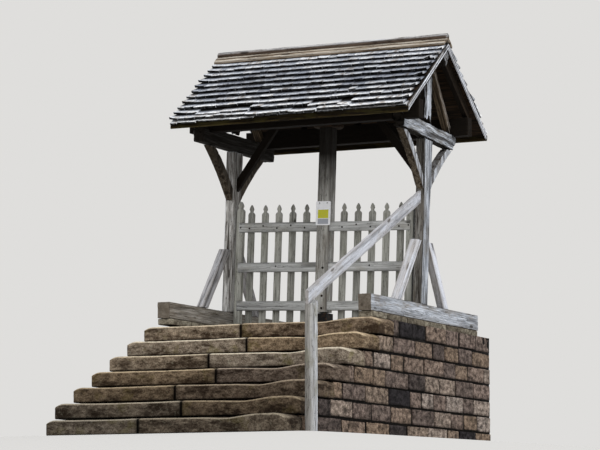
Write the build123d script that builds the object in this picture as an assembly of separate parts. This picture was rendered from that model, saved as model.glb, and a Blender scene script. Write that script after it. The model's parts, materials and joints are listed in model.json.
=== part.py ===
"""Lychgate over a flight of churchyard steps, with a two-leaf gate that turns on one central post.

Axes: +X along the gate to the right, +Y into the churchyard, +Z up. The origin lies on the base
plane, straight below the gate's pivot. All lengths are millimetres.
Two timber frames stand across the path, one at each end. The posts and the gate lean together to
the right, while the long members (plates, beams, roof) stay level and are scribed to the frames.
"""
from build123d import *
import math
import os

# General
LEAN = 2.0                  # degrees that frames and gate lean towards +X
JOINT = 0.3                 # play left in every scribed or tenoned joint
RIDGE_SPLIT = 0.15          # half of the joint between what meets at the ridge
SPARE = 10                  # by which a piece runs past the face that it is scribed to
BEYOND = 4000               # cutters reach this far, past every piece

# Steps and platform
STEPS = 7
RISER = 205
GOING = 425
TAIL = 60                   # part of a step built in under the next one
HALF_WIDTH = 1540           # from the pivot to the end of the steps
FRONT = -1820               # nosing of the top step
BACK = 1820                 # rear face of the platform
WALL = 260                  # thickness of flank and rear walls
FLAG_THICK = 90             # thickness of the landing flags
STONE_GAP = 6               # open joint between stones
NOSING_ROUND = 28
STONE_JOINTS = [-230, 80, -220, 80, -230, 50, -235]      # X of the joint, lowest step first
LEFT_ENDS = [-1390, -1530, -1535, -1540, -1540, -1540, -1540]    # left end of a step, lowest first
LAND = STEPS * RISER        # level of the landing
FLAG_ROWS = 5
FLAG_COLUMNS = 4
WORN = 30                   # depth to which feet have worn the walking line
WALK = LAND - WORN          # walking level, from which the gate and the frames were set out

# Transverse frames (levels above the walking level, or above the sill's top)
SILL_LINE = 1325            # from the pivot to the middle of a sill
FRAME_LINE = 1305           # from the pivot to the middle of a frame, at the walking level
PACKING = 80                # height of the stones under a sill
PACKING_EDGE = 5            # by which they stand out from the sill
PACKING_INSET = 20          # from the sill's front end to the first stone
PACKING_SHARES = [470, 610, 540, 700, 500, 560]      # lengths of one sill's stones to each other
SILL_HEIGHT = 200
SILL_WIDTH = 170
SILL_SET_BACK = 100         # from the platform's edge to a sill's end
SILL_HALF = BACK - SILL_SET_BACK         # half length of a sill
POST_WIDTH = 125            # along X
POST_DEPTH = 200            # along Y
POST_HEAD = 256             # along Y at the top
HEAD_LENGTH = 700           # length over which a post widens to its head
TIE_SOFFIT = 2355
TIE_DEPTH = 205
TIE_WIDTH = 150
TIE_HALF_LEFT = 1020        # half length of the left tie beam
TIE_HALF_RIGHT = 880        # half length of the right tie beam, which has lost its ends
TIE_FALL = 0.05             # slope at which the right tie beam has sunk towards the back
TENON = (45, 120, 80)       # thickness along X, width along Y, length
BRACE_WIDTH = 100           # along X
BRACE_DROP = 650            # from the tie beam's soffit down to a brace's foot
BRACE_REACH = 790           # from the post's middle out to the end of a brace's head
BRACE_HEAD = 150            # length of a brace's head along the soffit
BRACE_BOW = 32              # rise of the curve
STRUT_WIDTH = 95            # along X
STRUT_DEPTH = 135           # square to its length
STRUT_FOOT = 750            # from the post's middle to the strut's middle on the sill
STRUT_ANGLE = 36            # degrees off plumb
STRUT_TOP = 790             # level of its flat top above the sill
KING_WIDTH = 115
KING_DEPTH = 215
PRINCIPAL_FOOT = (690, 800)              # inner and outer edge of its foot, from the ridge line
PRINCIPAL_RUN = 1.15        # rise for each unit of run
PRINCIPAL_WIDTH = 100       # along X
SEAT = LAND + PACKING + SILL_HEIGHT      # top of the sills
TIE_Z = WALK + TIE_SOFFIT - SEAT         # soffit of the tie beam above the sill
TIE_TOP = TIE_Z + TIE_DEPTH

# Roof
PITCH = 36.7                # degrees
RIDGE_RISE = 3585           # from the walking level up to the shingles' top at the ridge
APEX = WALK + RIDGE_RISE
ROOF_HALF = 1590            # half length along X
EAVE = 1320                 # from the ridge to the lowest shingle edge, level
EXPOSURE = 142              # visible length of a shingle course, along the slope
COURSES = 11
SHINGLE_THIN = 22           # covering at the head of a course
SHINGLE_BUTT = 40           # covering at the butt of a course
BOARD = 22
RAFTER_DEPTH = 140
RAFTER_WIDTH = 65
RAFTERS = [-1480, -760, 0, 760, 1480]
PLATE_WIDTH = 140
PLATE_DEPTH = 230
PLATE_Y = 800
PLATE_COG = 70              # depth by which a plate is notched over the tie beams
PLATE_SHORT = 40            # from the verge to a plate's end
FASCIA_Y = 1280             # inner face of the eaves board
FASCIA = (24, 72)
VERGE = (20, 60)
RIDGE_BOARD = (165, 26)
CAP = (90, 38)
RIDGE_HALF_WIDTH = 125
RIDGE_DEPTH = 265
RIDGE_SHORT = 25            # from the verge to the ridge beam's end
BEAM_WIDTH = 140
BEAM_DEPTH = 180
BEAM_GAP = 18               # between the gate's collar and the centre beam
BEAM_TENON = (50, 120, 60)
BEAM_BRACE_WIDTH = 75       # along Y
BEAM_BRACE_DEPTH = 95       # square to its length
BEAM_BRACE_REACH = 470      # from a post's face to the near edge of the brace's head
BEAM_BRACE_DROP = 640       # from the centre beam's soffit down to the near edge of its foot
SWAY = math.tan(math.radians(LEAN))
FOOT_SHIFT = (SEAT - WALK) * SWAY        # shift of the frames' feet on the sills
ROOF_SHIFT = RIDGE_RISE * SWAY           # shift of the ridge
SLOPE = math.tan(math.radians(PITCH))
PLUMB = 1 / math.cos(math.radians(PITCH))    # plumb height of a unit of covering

# Handrail
NEWEL = 140                 # diameter
NEWEL_GAP = 40              # clear of the ends of the steps
NEWEL_AT = (HALF_WIDTH + NEWEL_GAP + NEWEL / 2, -3900)
RAIL_DEPTH = 148
RAIL_THICK = 45
RAIL_PAST = 50              # by which the rail runs past the newel that it lies on
RAIL_UPPER = 1635           # middle of the rail at the post, above the walking level
RAIL_LOWER = 55             # middle of the rail at its lower end, above the walking level

# Gate (levels above the walking level, measured up the leaning axis)
PIVOT_BLOCK = (200, 200, 220)
PIVOT_POST = 170
POST_FOOT = 264
COLLAR = (380, 50)          # diameter and thickness
COLLAR_ROUND = 28           # radius of its lower edge
COLLAR_TOP = 2632
PIN = 40                    # diameter of the pivot pins
PIN_FIT = 0.08              # radial running fit of the pins
PIN_LENGTH = 90
PIN_ROOM = 10               # depth of a pin's hole past the pin
LEAF_HALF = 1215            # from the axis to the outer edge of a stile
STILE = (100, 58)
STILE_FRONT = -65           # Y of the stiles' front faces; the rails are housed in them
GATE_RAIL = (122, 45)
RAIL_BACK = -28             # Y of the rails' backs, against which the pales stand
RAIL_LEVELS = [283, 770, 1275]           # undersides
RAIL_END = 1172
RAIL_TENON = 55
PALE = (90, 28)
PALES = [257, 449, 641, 833, 1025]       # distances from the axis
PALE_FOOT = 105
PALE_HEAD = 1632
STILE_HEAD = 1675
HEAD_HEIGHT = 150           # from the shoulder's start to the tip
SHOULDER_LEVEL = 34         # levels above the shoulder's start
NECK_LEVEL = 52
WAIST_LEVEL = 70
CHEEK_LEVEL = 86
BROW_LEVEL = 122
BEAM_SOFFIT = WALK + COLLAR_TOP + BEAM_GAP


def block(x, y, z):
    """Box between the (low, high) limits given for each axis."""
    size = Box(x[1] - x[0], y[1] - y[0], z[1] - z[0])
    return Pos((x[0] + x[1]) / 2, (y[0] + y[1]) / 2, (z[0] + z[1]) / 2) * size


def prism_x(points, low, high):
    """Polygon of (y, z) points, extruded from x = low to x = high."""
    outline = Plane.YZ * make_face(Polyline(*points, close=True))
    return Pos(low, 0, 0) * extrude(outline, amount=high - low)


def prism_y(points, low, high):
    """Polygon of (x, z) points, extruded from y = low to y = high."""
    outline = Plane.XZ * make_face(Polyline(*points, close=True))
    return Pos(0, high, 0) * extrude(outline, amount=high - low)


def mirrored_y(shape):
    return mirror(shape, about=Plane.XZ)


def joined(*shapes):
    """One compound of separate solids."""
    return Compound(children=[solid for shape in shapes for solid in shape.solids()])


# Steps and platform

def nosing_y(step):
    """Y of the nosing of a step; step 1 is the lowest."""
    return FRONT - (STEPS - step) * GOING


def step_stones(step):
    """The two stones of one step, with a rounded front edge."""
    low = (step - 1) * RISER
    near = nosing_y(step)
    far = near + GOING + TAIL
    split = STONE_JOINTS[step - 1]
    stones = []
    for left, right in ((LEFT_ENDS[step - 1], split - STONE_GAP / 2), (split + STONE_GAP / 2, HALF_WIDTH)):
        stone = block((left, right), (near, far), (low, low + RISER))
        edge = stone.edges().filter_by(Axis.X).group_by(Axis.Y)[0].sort_by(Axis.Z)[-1]
        stones.append(fillet(edge, NOSING_ROUND))
    return joined(*stones)


def fill_outline():
    """(y, z) outline of everything behind and below the step stones."""
    points = [(nosing_y(1) + GOING + TAIL, 0)]
    for step in range(1, STEPS):
        back = nosing_y(step) + GOING + TAIL
        points += [(back, step * RISER), (back + GOING, step * RISER)]
    return points


def platform_core():
    """Rubble core between the walls."""
    front, rear = nosing_y(STEPS) + GOING + TAIL, BACK - WALL
    inner = HALF_WIDTH - WALL
    top = LAND - FLAG_THICK
    points = fill_outline() + [(front, top), (rear, top), (rear, 0)]
    return prism_x(points, -inner, inner)


def flank_walls():
    """Side walls of the steps and the platform."""
    points = fill_outline() + [(nosing_y(STEPS) + GOING + TAIL, LAND), (BACK, LAND), (BACK, 0)]
    inner = HALF_WIDTH - WALL
    return joined(prism_x(points, -HALF_WIDTH, -inner), prism_x(points, inner, HALF_WIDTH))


def back_wall():
    inner = HALF_WIDTH - WALL
    return block((-inner, inner), (BACK - WALL, BACK), (0, LAND))


def landing_flags():
    """Flagstones of the landing, laid between the walls."""
    inner = HALF_WIDTH - WALL
    front = nosing_y(STEPS) + GOING + TAIL
    depth = (BACK - WALL - front) / FLAG_ROWS
    width = 2 * inner / FLAG_COLUMNS
    gap = STONE_GAP / 2
    flags = []
    for row in range(FLAG_ROWS):
        y = front + row * depth
        shift = width / 2 if row % 2 else 0
        cuts = [-inner] + [-inner + width * k + shift for k in range(1, FLAG_COLUMNS)] + [inner]
        for left, right in zip(cuts, cuts[1:]):
            flag = block((left + gap, right - gap), (y + gap, y + depth - gap), (-FLAG_THICK, 0))
            flags.append(Pos(0, 0, LAND) * flag)
    return joined(*flags)


def packing_stones():
    """Flat stones that carry the two sills."""
    stones = []
    share = 2 * (SILL_HALF - PACKING_INSET) / sum(PACKING_SHARES)
    for side in (-1, 1):
        y = -SILL_HALF + PACKING_INSET
        for length in [share * part for part in PACKING_SHARES[::side]]:
            near = side * SILL_LINE - SILL_WIDTH / 2 - PACKING_EDGE
            far = near + SILL_WIDTH + 2 * PACKING_EDGE
            stones.append(block((near, far), (y, y + length - 2 * STONE_GAP), (LAND, LAND + PACKING)))
            y += length
    return joined(*stones)


# Transverse frames
# A frame is drawn upright with its foot at the origin and placed by in_frame().

def in_frame(shape, side):
    """Stand a piece of the upright frame on its sill, leaning."""
    return Pos(side * FRAME_LINE + FOOT_SHIFT, 0, SEAT) * Rot(0, LEAN, 0) * shape


def on_sill(shape, side):
    """Place a piece and scribe its foot to the level top of the sill."""
    below = Pos(side * FRAME_LINE, 0, SEAT - BEYOND / 2) * Box(BEYOND, BEYOND, BEYOND)
    return in_frame(shape, side) - below


def tenon(play=0.0):
    """Stub tenon rising from z = 0; with play it is the cutter of its mortise."""
    thick, wide, long = TENON
    return Pos(0, 0, long / 2) * Box(thick + 2 * play, wide + 2 * play, long + 2 * play)


def foot_tenon(play=0.0):
    return Rot(180, 0, 0) * tenon(play)


def sill(side):
    beam = block((-SILL_WIDTH / 2, SILL_WIDTH / 2), (-SILL_HALF, SILL_HALF), (-SILL_HEIGHT, 0))
    return Pos(side * SILL_LINE, 0, SEAT) * beam - in_frame(foot_tenon(JOINT), side)


def on_tie(side, y, level):
    """(y, z) on a line along a tie beam that is at this level at y = 0."""
    return y, level - (TIE_FALL * y if side > 0 else 0)


def post_shaft(side, play=0.0):
    """Post with a widened head; its foot runs low so that it can be scribed to the sill."""
    foot, head = POST_DEPTH / 2 + play, POST_HEAD / 2 + play
    bend = TIE_Z - HEAD_LENGTH
    points = [(-foot, -SPARE), (foot, -SPARE), (foot, bend), on_tie(side, head, TIE_Z),
              on_tie(side, -head, TIE_Z), (-foot, bend)]
    return prism_x(points, -POST_WIDTH / 2 - play, POST_WIDTH / 2 + play)


def head_tenon(side, play=0.0):
    """Tenon at a post's head; with play it is the cutter of its mortise in the tie beam."""
    root = on_tie(side, TENON[1] / 2, TIE_Z)[1]
    return Pos(0, 0, root) * tenon(play)


def post(side):
    body = on_sill(post_shaft(side), side) + in_frame(foot_tenon(), side)
    return body + in_frame(head_tenon(side), side)


def tie_blank(side, half, play=0.0):
    """Tie beam before it is mortised; with play it is the cutter of the notches over it."""
    points = [on_tie(side, y, level) for y, level in
              ((-half, TIE_Z), (half, TIE_Z), (half, TIE_TOP + play), (-half, TIE_TOP + play))]
    return prism_x(points, -TIE_WIDTH / 2 - play, TIE_WIDTH / 2 + play)


def tie_beam(side):
    """Tie beam with its mortise for the post; the wall plates are notched over it."""
    half = TIE_HALF_LEFT if side < 0 else TIE_HALF_RIGHT
    return in_frame(tie_blank(side, half) - head_tenon(side, JOINT), side)


def tie_brace(side, way):
    """Curved brace from the post's face to the soffit of the tie beam."""
    inside = POST_DEPTH / 4
    steep = BRACE_DROP / (BRACE_REACH - POST_DEPTH / 2)
    bow = (-BRACE_BOW * math.sin(math.atan(steep)), BRACE_BOW * math.cos(math.atan(steep)))
    edges = []
    for head in (BRACE_REACH, BRACE_REACH - BRACE_HEAD):
        top = (head, on_tie(side, way * head, TIE_Z)[1])
        foot = (inside, TIE_Z - (head - inside) * steep)
        middle = ((inside + head) / 2 + bow[0], (foot[1] + top[1]) / 2 + bow[1])
        edges.append((foot, middle, top))
    lower, upper = edges
    outline = make_face([ThreePointArc(*lower), Line(lower[2], upper[2]),
                         ThreePointArc(*upper[::-1]), Line(upper[0], lower[0])])
    brace = extrude(Plane.YZ * outline, amount=BRACE_WIDTH / 2, both=True) - post_shaft(side, JOINT)
    brace = brace.solids().sort_by(Axis.Y)[-1]
    return in_frame(brace if way > 0 else mirrored_y(brace), side)


def raking_strut(side, way):
    """Strut from the sill to the post's face, cut off level at the top."""
    angle = math.radians(STRUT_ANGLE)
    half = STRUT_DEPTH / 2 / math.cos(angle)
    run = math.tan(angle)
    face = POST_DEPTH / 2
    outer, inner = STRUT_FOOT + half, STRUT_FOOT - half
    points = [(outer + SPARE * run, -SPARE), (outer - STRUT_TOP * run, STRUT_TOP), (face, STRUT_TOP),
              (face, (inner - face) / run), (inner + SPARE * run, -SPARE)]
    strut = prism_x(points, -STRUT_WIDTH / 2, STRUT_WIDTH / 2)
    return on_sill(strut if way > 0 else mirrored_y(strut), side)


def king_post(side):
    """Upright on the tie beam that carries the ridge beam and the centre beam."""
    top = APEX - SEAT
    half = KING_DEPTH / 2
    points = [on_tie(side, -half, TIE_TOP), on_tie(side, half, TIE_TOP), (half, top), (-half, top)]
    upright = prism_x(points, -KING_WIDTH / 2, KING_WIDTH / 2)
    placed = in_frame(upright, side) - ridge_seat()
    placed = placed.solids().sort_by(Axis.Z)[0]
    return placed - beam_tenon(side, JOINT)


def principal_rafter(side, way):
    """Raking piece from the end of the tie beam to the king post."""
    inner, outer = PRINCIPAL_FOOT
    face = KING_DEPTH / 2
    run = PRINCIPAL_RUN
    feet = [(y, on_tie(side, way * y, TIE_TOP)[1]) for y in (outer, inner)]
    points = [feet[0], (face, TIE_TOP + (outer - face) * run),
              (face, TIE_TOP + (inner - face) * run), feet[1]]
    piece = in_frame(prism_x(points, -PRINCIPAL_WIDTH / 2, PRINCIPAL_WIDTH / 2), side)
    piece = piece - plate_blank(JOINT) - ridge_seat()
    piece = max(piece.solids(), key=lambda solid: solid.volume)
    return piece if way > 0 else mirrored_y(piece)


# Long members and roof

def slope_point(y, up):
    """(y, z) on the front slope: y from the ridge, up = height square to the board tops."""
    board_top = APEX - SHINGLE_BUTT * PLUMB - abs(y) * SLOPE
    return y, board_top + up * PLUMB


def along_slope(distance):
    """Level distance from the ridge of a point that lies this far up from the lowest edge."""
    return EAVE - distance / PLUMB


def slope_slab(near, far, low, high, half_length):
    """Slab on the rear slope between two distances from the ridge and two heights."""
    points = [slope_point(near, low), slope_point(far, low), slope_point(far, high), slope_point(near, high)]
    return Pos(ROOF_SHIFT, 0, 0) * prism_x(points, -half_length, half_length)


def shingle_covering():
    """Covering of the rear slope: every course steps up at its butt."""
    points = [slope_point(RIDGE_SPLIT, 0), slope_point(EAVE, 0)]
    for course in range(COURSES + 1):
        low = along_slope(course * EXPOSURE)
        high = max(along_slope((course + 1) * EXPOSURE), RIDGE_SPLIT)
        points += [slope_point(low, SHINGLE_BUTT), slope_point(high, SHINGLE_THIN)]
        if high == RIDGE_SPLIT:
            break
    return Pos(ROOF_SHIFT, 0, 0) * prism_x(points, -ROOF_HALF, ROOF_HALF)


def roof_boards():
    """Boarding of the rear slope that the shingles are nailed to."""
    return slope_slab(RIDGE_SPLIT, FASCIA_Y - JOINT, -BOARD, -JOINT, ROOF_HALF - VERGE[0] - JOINT)


def verge_board(side):
    """Strip that closes one end of the rear slope's boarding."""
    thick, deep = VERGE
    strip = slope_slab(RIDGE_SPLIT, FASCIA_Y - JOINT, -deep, -JOINT, thick / 2)
    return Pos(side * (ROOF_HALF - thick / 2), 0, 0) * strip


def eaves_board():
    thick, tall = FASCIA
    top = slope_point(FASCIA_Y + thick, -JOINT)[1]
    board = block((-ROOF_HALF, ROOF_HALF), (FASCIA_Y, FASCIA_Y + thick), (top - tall, top))
    return Pos(ROOF_SHIFT, 0, 0) * board


def ridge_board():
    """Board laid over the top course of the rear slope."""
    wide, thick = RIDGE_BOARD
    return slope_slab(RIDGE_SPLIT, wide / PLUMB, SHINGLE_BUTT + JOINT, SHINGLE_BUTT + thick, ROOF_HALF)


def ridge_cap():
    """Narrow strip over the joint of the two ridge boards."""
    wide, thick = CAP
    half = wide / 2
    base = SHINGLE_BUTT + RIDGE_BOARD[1] + JOINT
    points = [slope_point(0, base), slope_point(half, base), slope_point(half, base + thick),
              slope_point(0, base + thick)]
    right = prism_x(points, -ROOF_HALF, ROOF_HALF)
    return Pos(ROOF_SHIFT, 0, 0) * (right + mirrored_y(right))


def ridge_section(grow=0.0):
    """Ridge beam's outline: sloped shoulders under the boards and a pointed underside."""
    low = slope_point(0, -BOARD - JOINT)[1] - RIDGE_DEPTH
    shoulder = slope_point(RIDGE_HALF_WIDTH, -BOARD - JOINT)
    top = slope_point(0, -BOARD - JOINT)
    wide = shoulder[0] + grow
    return [(0, low - grow), (wide, shoulder[1]), (0, top[1] + grow), (-wide, shoulder[1])]


def ridge_beam():
    half = ROOF_HALF - RIDGE_SHORT
    return Pos(ROOF_SHIFT, 0, 0) * prism_x(ridge_section(), -half, half)


def ridge_seat():
    """Cutter that seats the ridge beam on the king posts and clears all above it."""
    low, wide = ridge_section(JOINT)[:2]
    over = wide[1] + BEYOND
    points = [low, wide, (wide[0], over), (-wide[0], over), (-wide[0], wide[1])]
    return Pos(ROOF_SHIFT, 0, 0) * prism_x(points, -ROOF_HALF, ROOF_HALF)


def common_rafter(x):
    """Rafter of the rear slope, notched over the plate and scribed to the ridge beam."""
    foot = PLATE_Y + PLATE_WIDTH / 2
    points = [slope_point(RIDGE_SPLIT, -BOARD - JOINT), slope_point(foot, -BOARD - JOINT),
              slope_point(foot, -BOARD - RAFTER_DEPTH), slope_point(RIDGE_SPLIT, -BOARD - RAFTER_DEPTH)]
    rafter = Pos(ROOF_SHIFT + x, 0, 0) * prism_x(points, -RAFTER_WIDTH / 2, RAFTER_WIDTH / 2)
    rafter = rafter - Pos(ROOF_SHIFT, 0, 0) * prism_x(ridge_section(JOINT), -ROOF_HALF, ROOF_HALF)
    rafter = rafter.solids().sort_by(Axis.Z)[0]
    return rafter - plate_blank(JOINT)


def plate_blank(grow=0.0):
    """Rear wall plate before it is notched over the tie beams."""
    low = SEAT + TIE_TOP - PLATE_COG
    half = PLATE_WIDTH / 2 + grow
    long = ROOF_HALF - PLATE_SHORT + grow
    plate = block((-long, long), (PLATE_Y - half, PLATE_Y + half), (low - grow, low + PLATE_DEPTH + grow))
    return Pos(ROOF_SHIFT, 0, 0) * plate


def wall_plate(way):
    """Front or rear wall plate, notched down over both tie beams."""
    plate = plate_blank() if way > 0 else mirrored_y(plate_blank())
    for side in (-1, 1):
        plate = plate - in_frame(tie_blank(side, BEYOND, JOINT), side)
    return plate


def beam_tenon(side, play=0.0):
    """Tenon of the centre beam in a king post; with play it is the mortise's cutter."""
    wide, deep, long = BEAM_TENON
    middle = BEAM_SOFFIT + BEAM_DEPTH / 2
    inner = side * (FRAME_LINE - KING_WIDTH / 2) + (middle - WALK) * SWAY
    return Pos(inner, 0, middle) * Box(2 * long, wide + 2 * play, deep + 2 * play)


def centre_beam():
    """Long beam over the gate; its ends are scribed to the leaning king posts."""
    middle = BEAM_SOFFIT + BEAM_DEPTH / 2
    beam = Pos(ROOF_SHIFT, 0, middle) * Box(2 * FRAME_LINE, BEAM_WIDTH, BEAM_DEPTH)
    for side in (-1, 1):
        face = -side * (KING_WIDTH / 2 + JOINT)
        beyond = block(sorted((face, side * BEYOND)), (-BEYOND, BEYOND), (-BEYOND, BEYOND))
        beam = beam - in_frame(beyond, side)
    beam = beam + beam_tenon(-1) + beam_tenon(1)
    return beam - gate_axis(pin_hole(COLLAR_TOP))


def beam_brace(side):
    """Straight brace from a post's inner face up to the centre beam."""
    reach, drop = BEAM_BRACE_REACH, BEAM_BRACE_DROP
    length = math.hypot(reach, drop)
    along, below = BEAM_BRACE_DEPTH * length / drop, BEAM_BRACE_DEPTH * length / reach
    face = FRAME_LINE - POST_WIDTH / 2
    foot = face + POST_WIDTH / 4
    extra = POST_WIDTH / 4 * drop / reach
    points = [(face - reach, 0), (face - reach - along, 0), (foot, -drop - extra - below),
              (foot, -drop - extra)]
    shift = (BEAM_SOFFIT - drop - WALK) * SWAY
    placed = [(side * x + shift, BEAM_SOFFIT + z) for x, z in points]
    brace = prism_y(placed, -BEAM_BRACE_WIDTH / 2, BEAM_BRACE_WIDTH / 2)
    brace = brace - in_frame(post_shaft(side, JOINT), side)
    return max(brace.solids(), key=lambda solid: solid.volume)


# Handrail

def rail_ends():
    """Upper and lower end of the handrail's middle line."""
    upper = Vector(FRAME_LINE + RAIL_UPPER * SWAY, -POST_DEPTH / 2, WALK + RAIL_UPPER)
    lower = Vector(NEWEL_AT[0], NEWEL_AT[1] - NEWEL / 2 - RAIL_PAST, WALK + RAIL_LOWER)
    return upper, lower


def rail_blank(wide=RAIL_THICK, grow=0.0, over=0.0):
    """Flat board on edge from the newel to the post, ends plumb, with so much more over it."""
    upper, lower = rail_ends()
    thick = wide / 2 + grow
    side = math.atan2(upper.X - lower.X, upper.Y - lower.Y)
    run = math.hypot(upper.X - lower.X, upper.Y - lower.Y)
    rise = (upper.Z - lower.Z) / run
    half = RAIL_DEPTH / 2 * math.hypot(1, rise) + grow
    far, top = run + 2 * SPARE, upper.Z + 2 * SPARE * rise
    head = half + over
    points = [(0, lower.Z - half), (far, top - half), (far, top + head), (0, lower.Z + head)]
    board = prism_x(points, -thick, thick)
    return Pos(lower.X, lower.Y, 0) * Rot(0, 0, -math.degrees(side)) * board


def handrail():
    """Handrail board, its upper end scribed to the right post and the post's widening head."""
    beyond = block((-BEYOND, BEYOND), (-POST_DEPTH / 2 - JOINT, BEYOND), (0, BEYOND))
    return rail_blank() - in_frame(beyond + post_shaft(1, JOINT), 1)


def handrail_post():
    """Round newel, its top cut to the slope of the rail that lies on it."""
    tall = WALK + RAIL_LOWER + NEWEL / 2
    post = Pos(NEWEL_AT[0], NEWEL_AT[1], tall / 2) * Cylinder(NEWEL / 2, tall)
    return post - rail_blank(2 * NEWEL, JOINT, NEWEL)


# Gate
# The gate is drawn upright on the axis, with z = 0 at the walking level, and placed by gate_axis().

def gate_axis(shape):
    """Stand a piece of the upright gate in its place, leaning."""
    return Pos(0, 0, WALK) * Rot(0, LEAN, 0) * shape


def pin_hole(level):
    """Cutter for the bore of a pivot pin, half above and half below a level."""
    return Pos(0, 0, level) * Cylinder(PIN / 2 + PIN_FIT, 2 * (PIN_LENGTH + PIN_ROOM))


def pivot_block():
    """Block on the landing that holds the lower pivot pin."""
    wide, deep, tall = PIVOT_BLOCK
    body = Pos(0, 0, LAND + tall / 2) * Box(wide, deep, tall)
    return body - gate_axis(pin_hole(POST_FOOT))


def rail_blanks(side, play=0.0):
    """The three rails of one leaf with their tenons; with play, the mortise cutters."""
    deep, thick = GATE_RAIL
    start = PIVOT_POST / 2 - RAIL_TENON - play
    rails = []
    for low in RAIL_LEVELS:
        x = sorted((side * start, side * (RAIL_END + play)))
        y = (RAIL_BACK - thick - play, RAIL_BACK + play)
        rails.append(block(x, y, (low - play, low + deep + play)))
    return rails


def gate_rails(side):
    return gate_axis(joined(*rail_blanks(side)))


def gate_pivot_post():
    """Central post with a pivot pin at each end, mortised for the rails."""
    top = COLLAR_TOP - COLLAR[1]
    half = PIVOT_POST / 2
    post = block((-half, half), (-half, half), (POST_FOOT, top))
    for inside, tip in ((POST_FOOT, POST_FOOT - PIN_LENGTH), (top, COLLAR_TOP + PIN_LENGTH)):
        post = post + Pos(0, 0, (inside + tip) / 2) * Cylinder(PIN / 2, abs(tip - inside))
    for side in (-1, 1):
        for cutter in rail_blanks(side, JOINT):
            post = post - cutter
    return gate_axis(post)


def gate_collar():
    """Turned plate with a rounded lower edge on the post's head, close below the centre beam."""
    wide, thick = COLLAR
    disc = Cylinder(wide / 2, thick)
    disc = fillet(disc.edges().filter_by(GeomType.CIRCLE).sort_by(Axis.Z)[0], COLLAR_ROUND)
    disc = disc - Cylinder(PIN / 2 + JOINT, 2 * thick)
    return gate_axis(Pos(0, 0, COLLAR_TOP - thick / 2) * disc)


def pale_outline(width, foot, top):
    """Outline with rounded shoulders, a neck and a pointed head, centred on x = 0."""
    base = top - HEAD_HEIGHT
    edge = width / 2
    shoulder, neck, waist, cheek, brow = 0.44 * width, 0.20 * width, 0.23 * width, 0.33 * width, 0.20 * width
    at_neck, at_cheek = (neck, base + NECK_LEVEL), (cheek, base + CHEEK_LEVEL)
    side = [((edge, base), (shoulder, base + SHOULDER_LEVEL), at_neck),
            (at_neck, (waist, base + WAIST_LEVEL), at_cheek),
            (at_cheek, (brow, base + BROW_LEVEL), (0, top))]
    edges = [Line((-edge, foot), (edge, foot)), Line((edge, foot), (edge, base))]
    edges += [ThreePointArc(*points) for points in side]
    flipped = [[(-x, z) for x, z in reversed(points)] for points in reversed(side)]
    edges += [ThreePointArc(*points) for points in flipped]
    edges.append(Line((-edge, base), (-edge, foot)))
    return Plane.XZ * make_face(edges)


def pale(x, front, width, thick, foot, top):
    """Upright pale at x, its front face at y = front."""
    return Pos(x, front + thick, 0) * extrude(pale_outline(width, foot, top), amount=thick)


def gate_pales(side):
    wide, thick = PALE
    return gate_axis(joined(*[pale(side * x, RAIL_BACK, wide, thick, PALE_FOOT, PALE_HEAD) for x in PALES]))


def gate_stile(side):
    """Outer upright of one leaf, with a housing in its front for each rail."""
    wide, thick = STILE
    stile = pale(side * (LEAF_HALF - wide / 2), STILE_FRONT, wide, thick, PALE_FOOT, STILE_HEAD)
    for cutter in rail_blanks(side, JOINT):
        stile = stile - cutter
    return gate_axis(stile)


def both_slopes(shape):
    return joined(shape, mirrored_y(shape))


def pieces():
    """Every node of the assembly by name."""
    sides, ways = (-1, 1), (-1, 1)
    nodes = {f"step_{step}": step_stones(step) for step in range(1, STEPS + 1)}
    nodes.update(
        platform_core=platform_core(),
        flank_walls=flank_walls(),
        back_wall=back_wall(),
        landing_flags=landing_flags(),
        packing_stones=packing_stones(),
        pivot_block=pivot_block(),
        sills=joined(*[sill(side) for side in sides]),
        posts=joined(*[post(side) for side in sides]),
        raking_struts=joined(*[raking_strut(side, way) for side in sides for way in ways]),
        tie_beams=joined(*[tie_beam(side) for side in sides]),
        tie_braces=joined(*[tie_brace(side, way) for side in sides for way in ways]),
        king_posts=joined(*[king_post(side) for side in sides]),
        principal_rafters=joined(*[principal_rafter(side, way) for side in sides for way in ways]),
        centre_beam=centre_beam(),
        beam_braces=joined(*[beam_brace(side) for side in sides]),
        wall_plates=joined(*[wall_plate(way) for way in ways]),
        ridge_beam=ridge_beam(),
        common_rafters=both_slopes(joined(*[common_rafter(x) for x in RAFTERS])),
        back_roof_boards=roof_boards(),
        front_roof_boards=mirrored_y(roof_boards()),
        back_shingles=shingle_covering(),
        front_shingles=mirrored_y(shingle_covering()),
        verge_boards=both_slopes(joined(*[verge_board(side) for side in sides])),
        eaves_boards=both_slopes(eaves_board()),
        ridge_boards=both_slopes(ridge_board()),
        ridge_cap=ridge_cap(),
        handrail=handrail(),
        handrail_post=handrail_post(),
        gate_pivot_post=gate_pivot_post(),
        gate_collar=gate_collar(),
        left_gate_rails=gate_rails(-1),
        right_gate_rails=gate_rails(1),
        left_gate_pales=gate_pales(-1),
        right_gate_pales=gate_pales(1),
        left_gate_stile=gate_stile(-1),
        right_gate_stile=gate_stile(1),
    )
    return nodes


os.makedirs("parts", exist_ok=True)
for name, shape in pieces().items():
    shape.label = name
    export_step(shape, f"parts/{name}.step")
    solids = shape.solids()
    print(name, len(solids), "solids", round(sum(solid.volume for solid in solids) / 1e9, 4), "m3")
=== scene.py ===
# %% [markdown]
# This lychgate is a timber gate that turns on a central post, under a shingled roof on two leaning frames,
# at the head of a flight of worn sandstone steps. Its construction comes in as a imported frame, in metres.
# Every timber and stone could be modelled again by hand. Here each is made from its own solid in that frame
# instead: the solid gives the place, the size and the joints, so nothing is fitted by eye, and this script
# adds only what a century of weather did to it.

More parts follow.
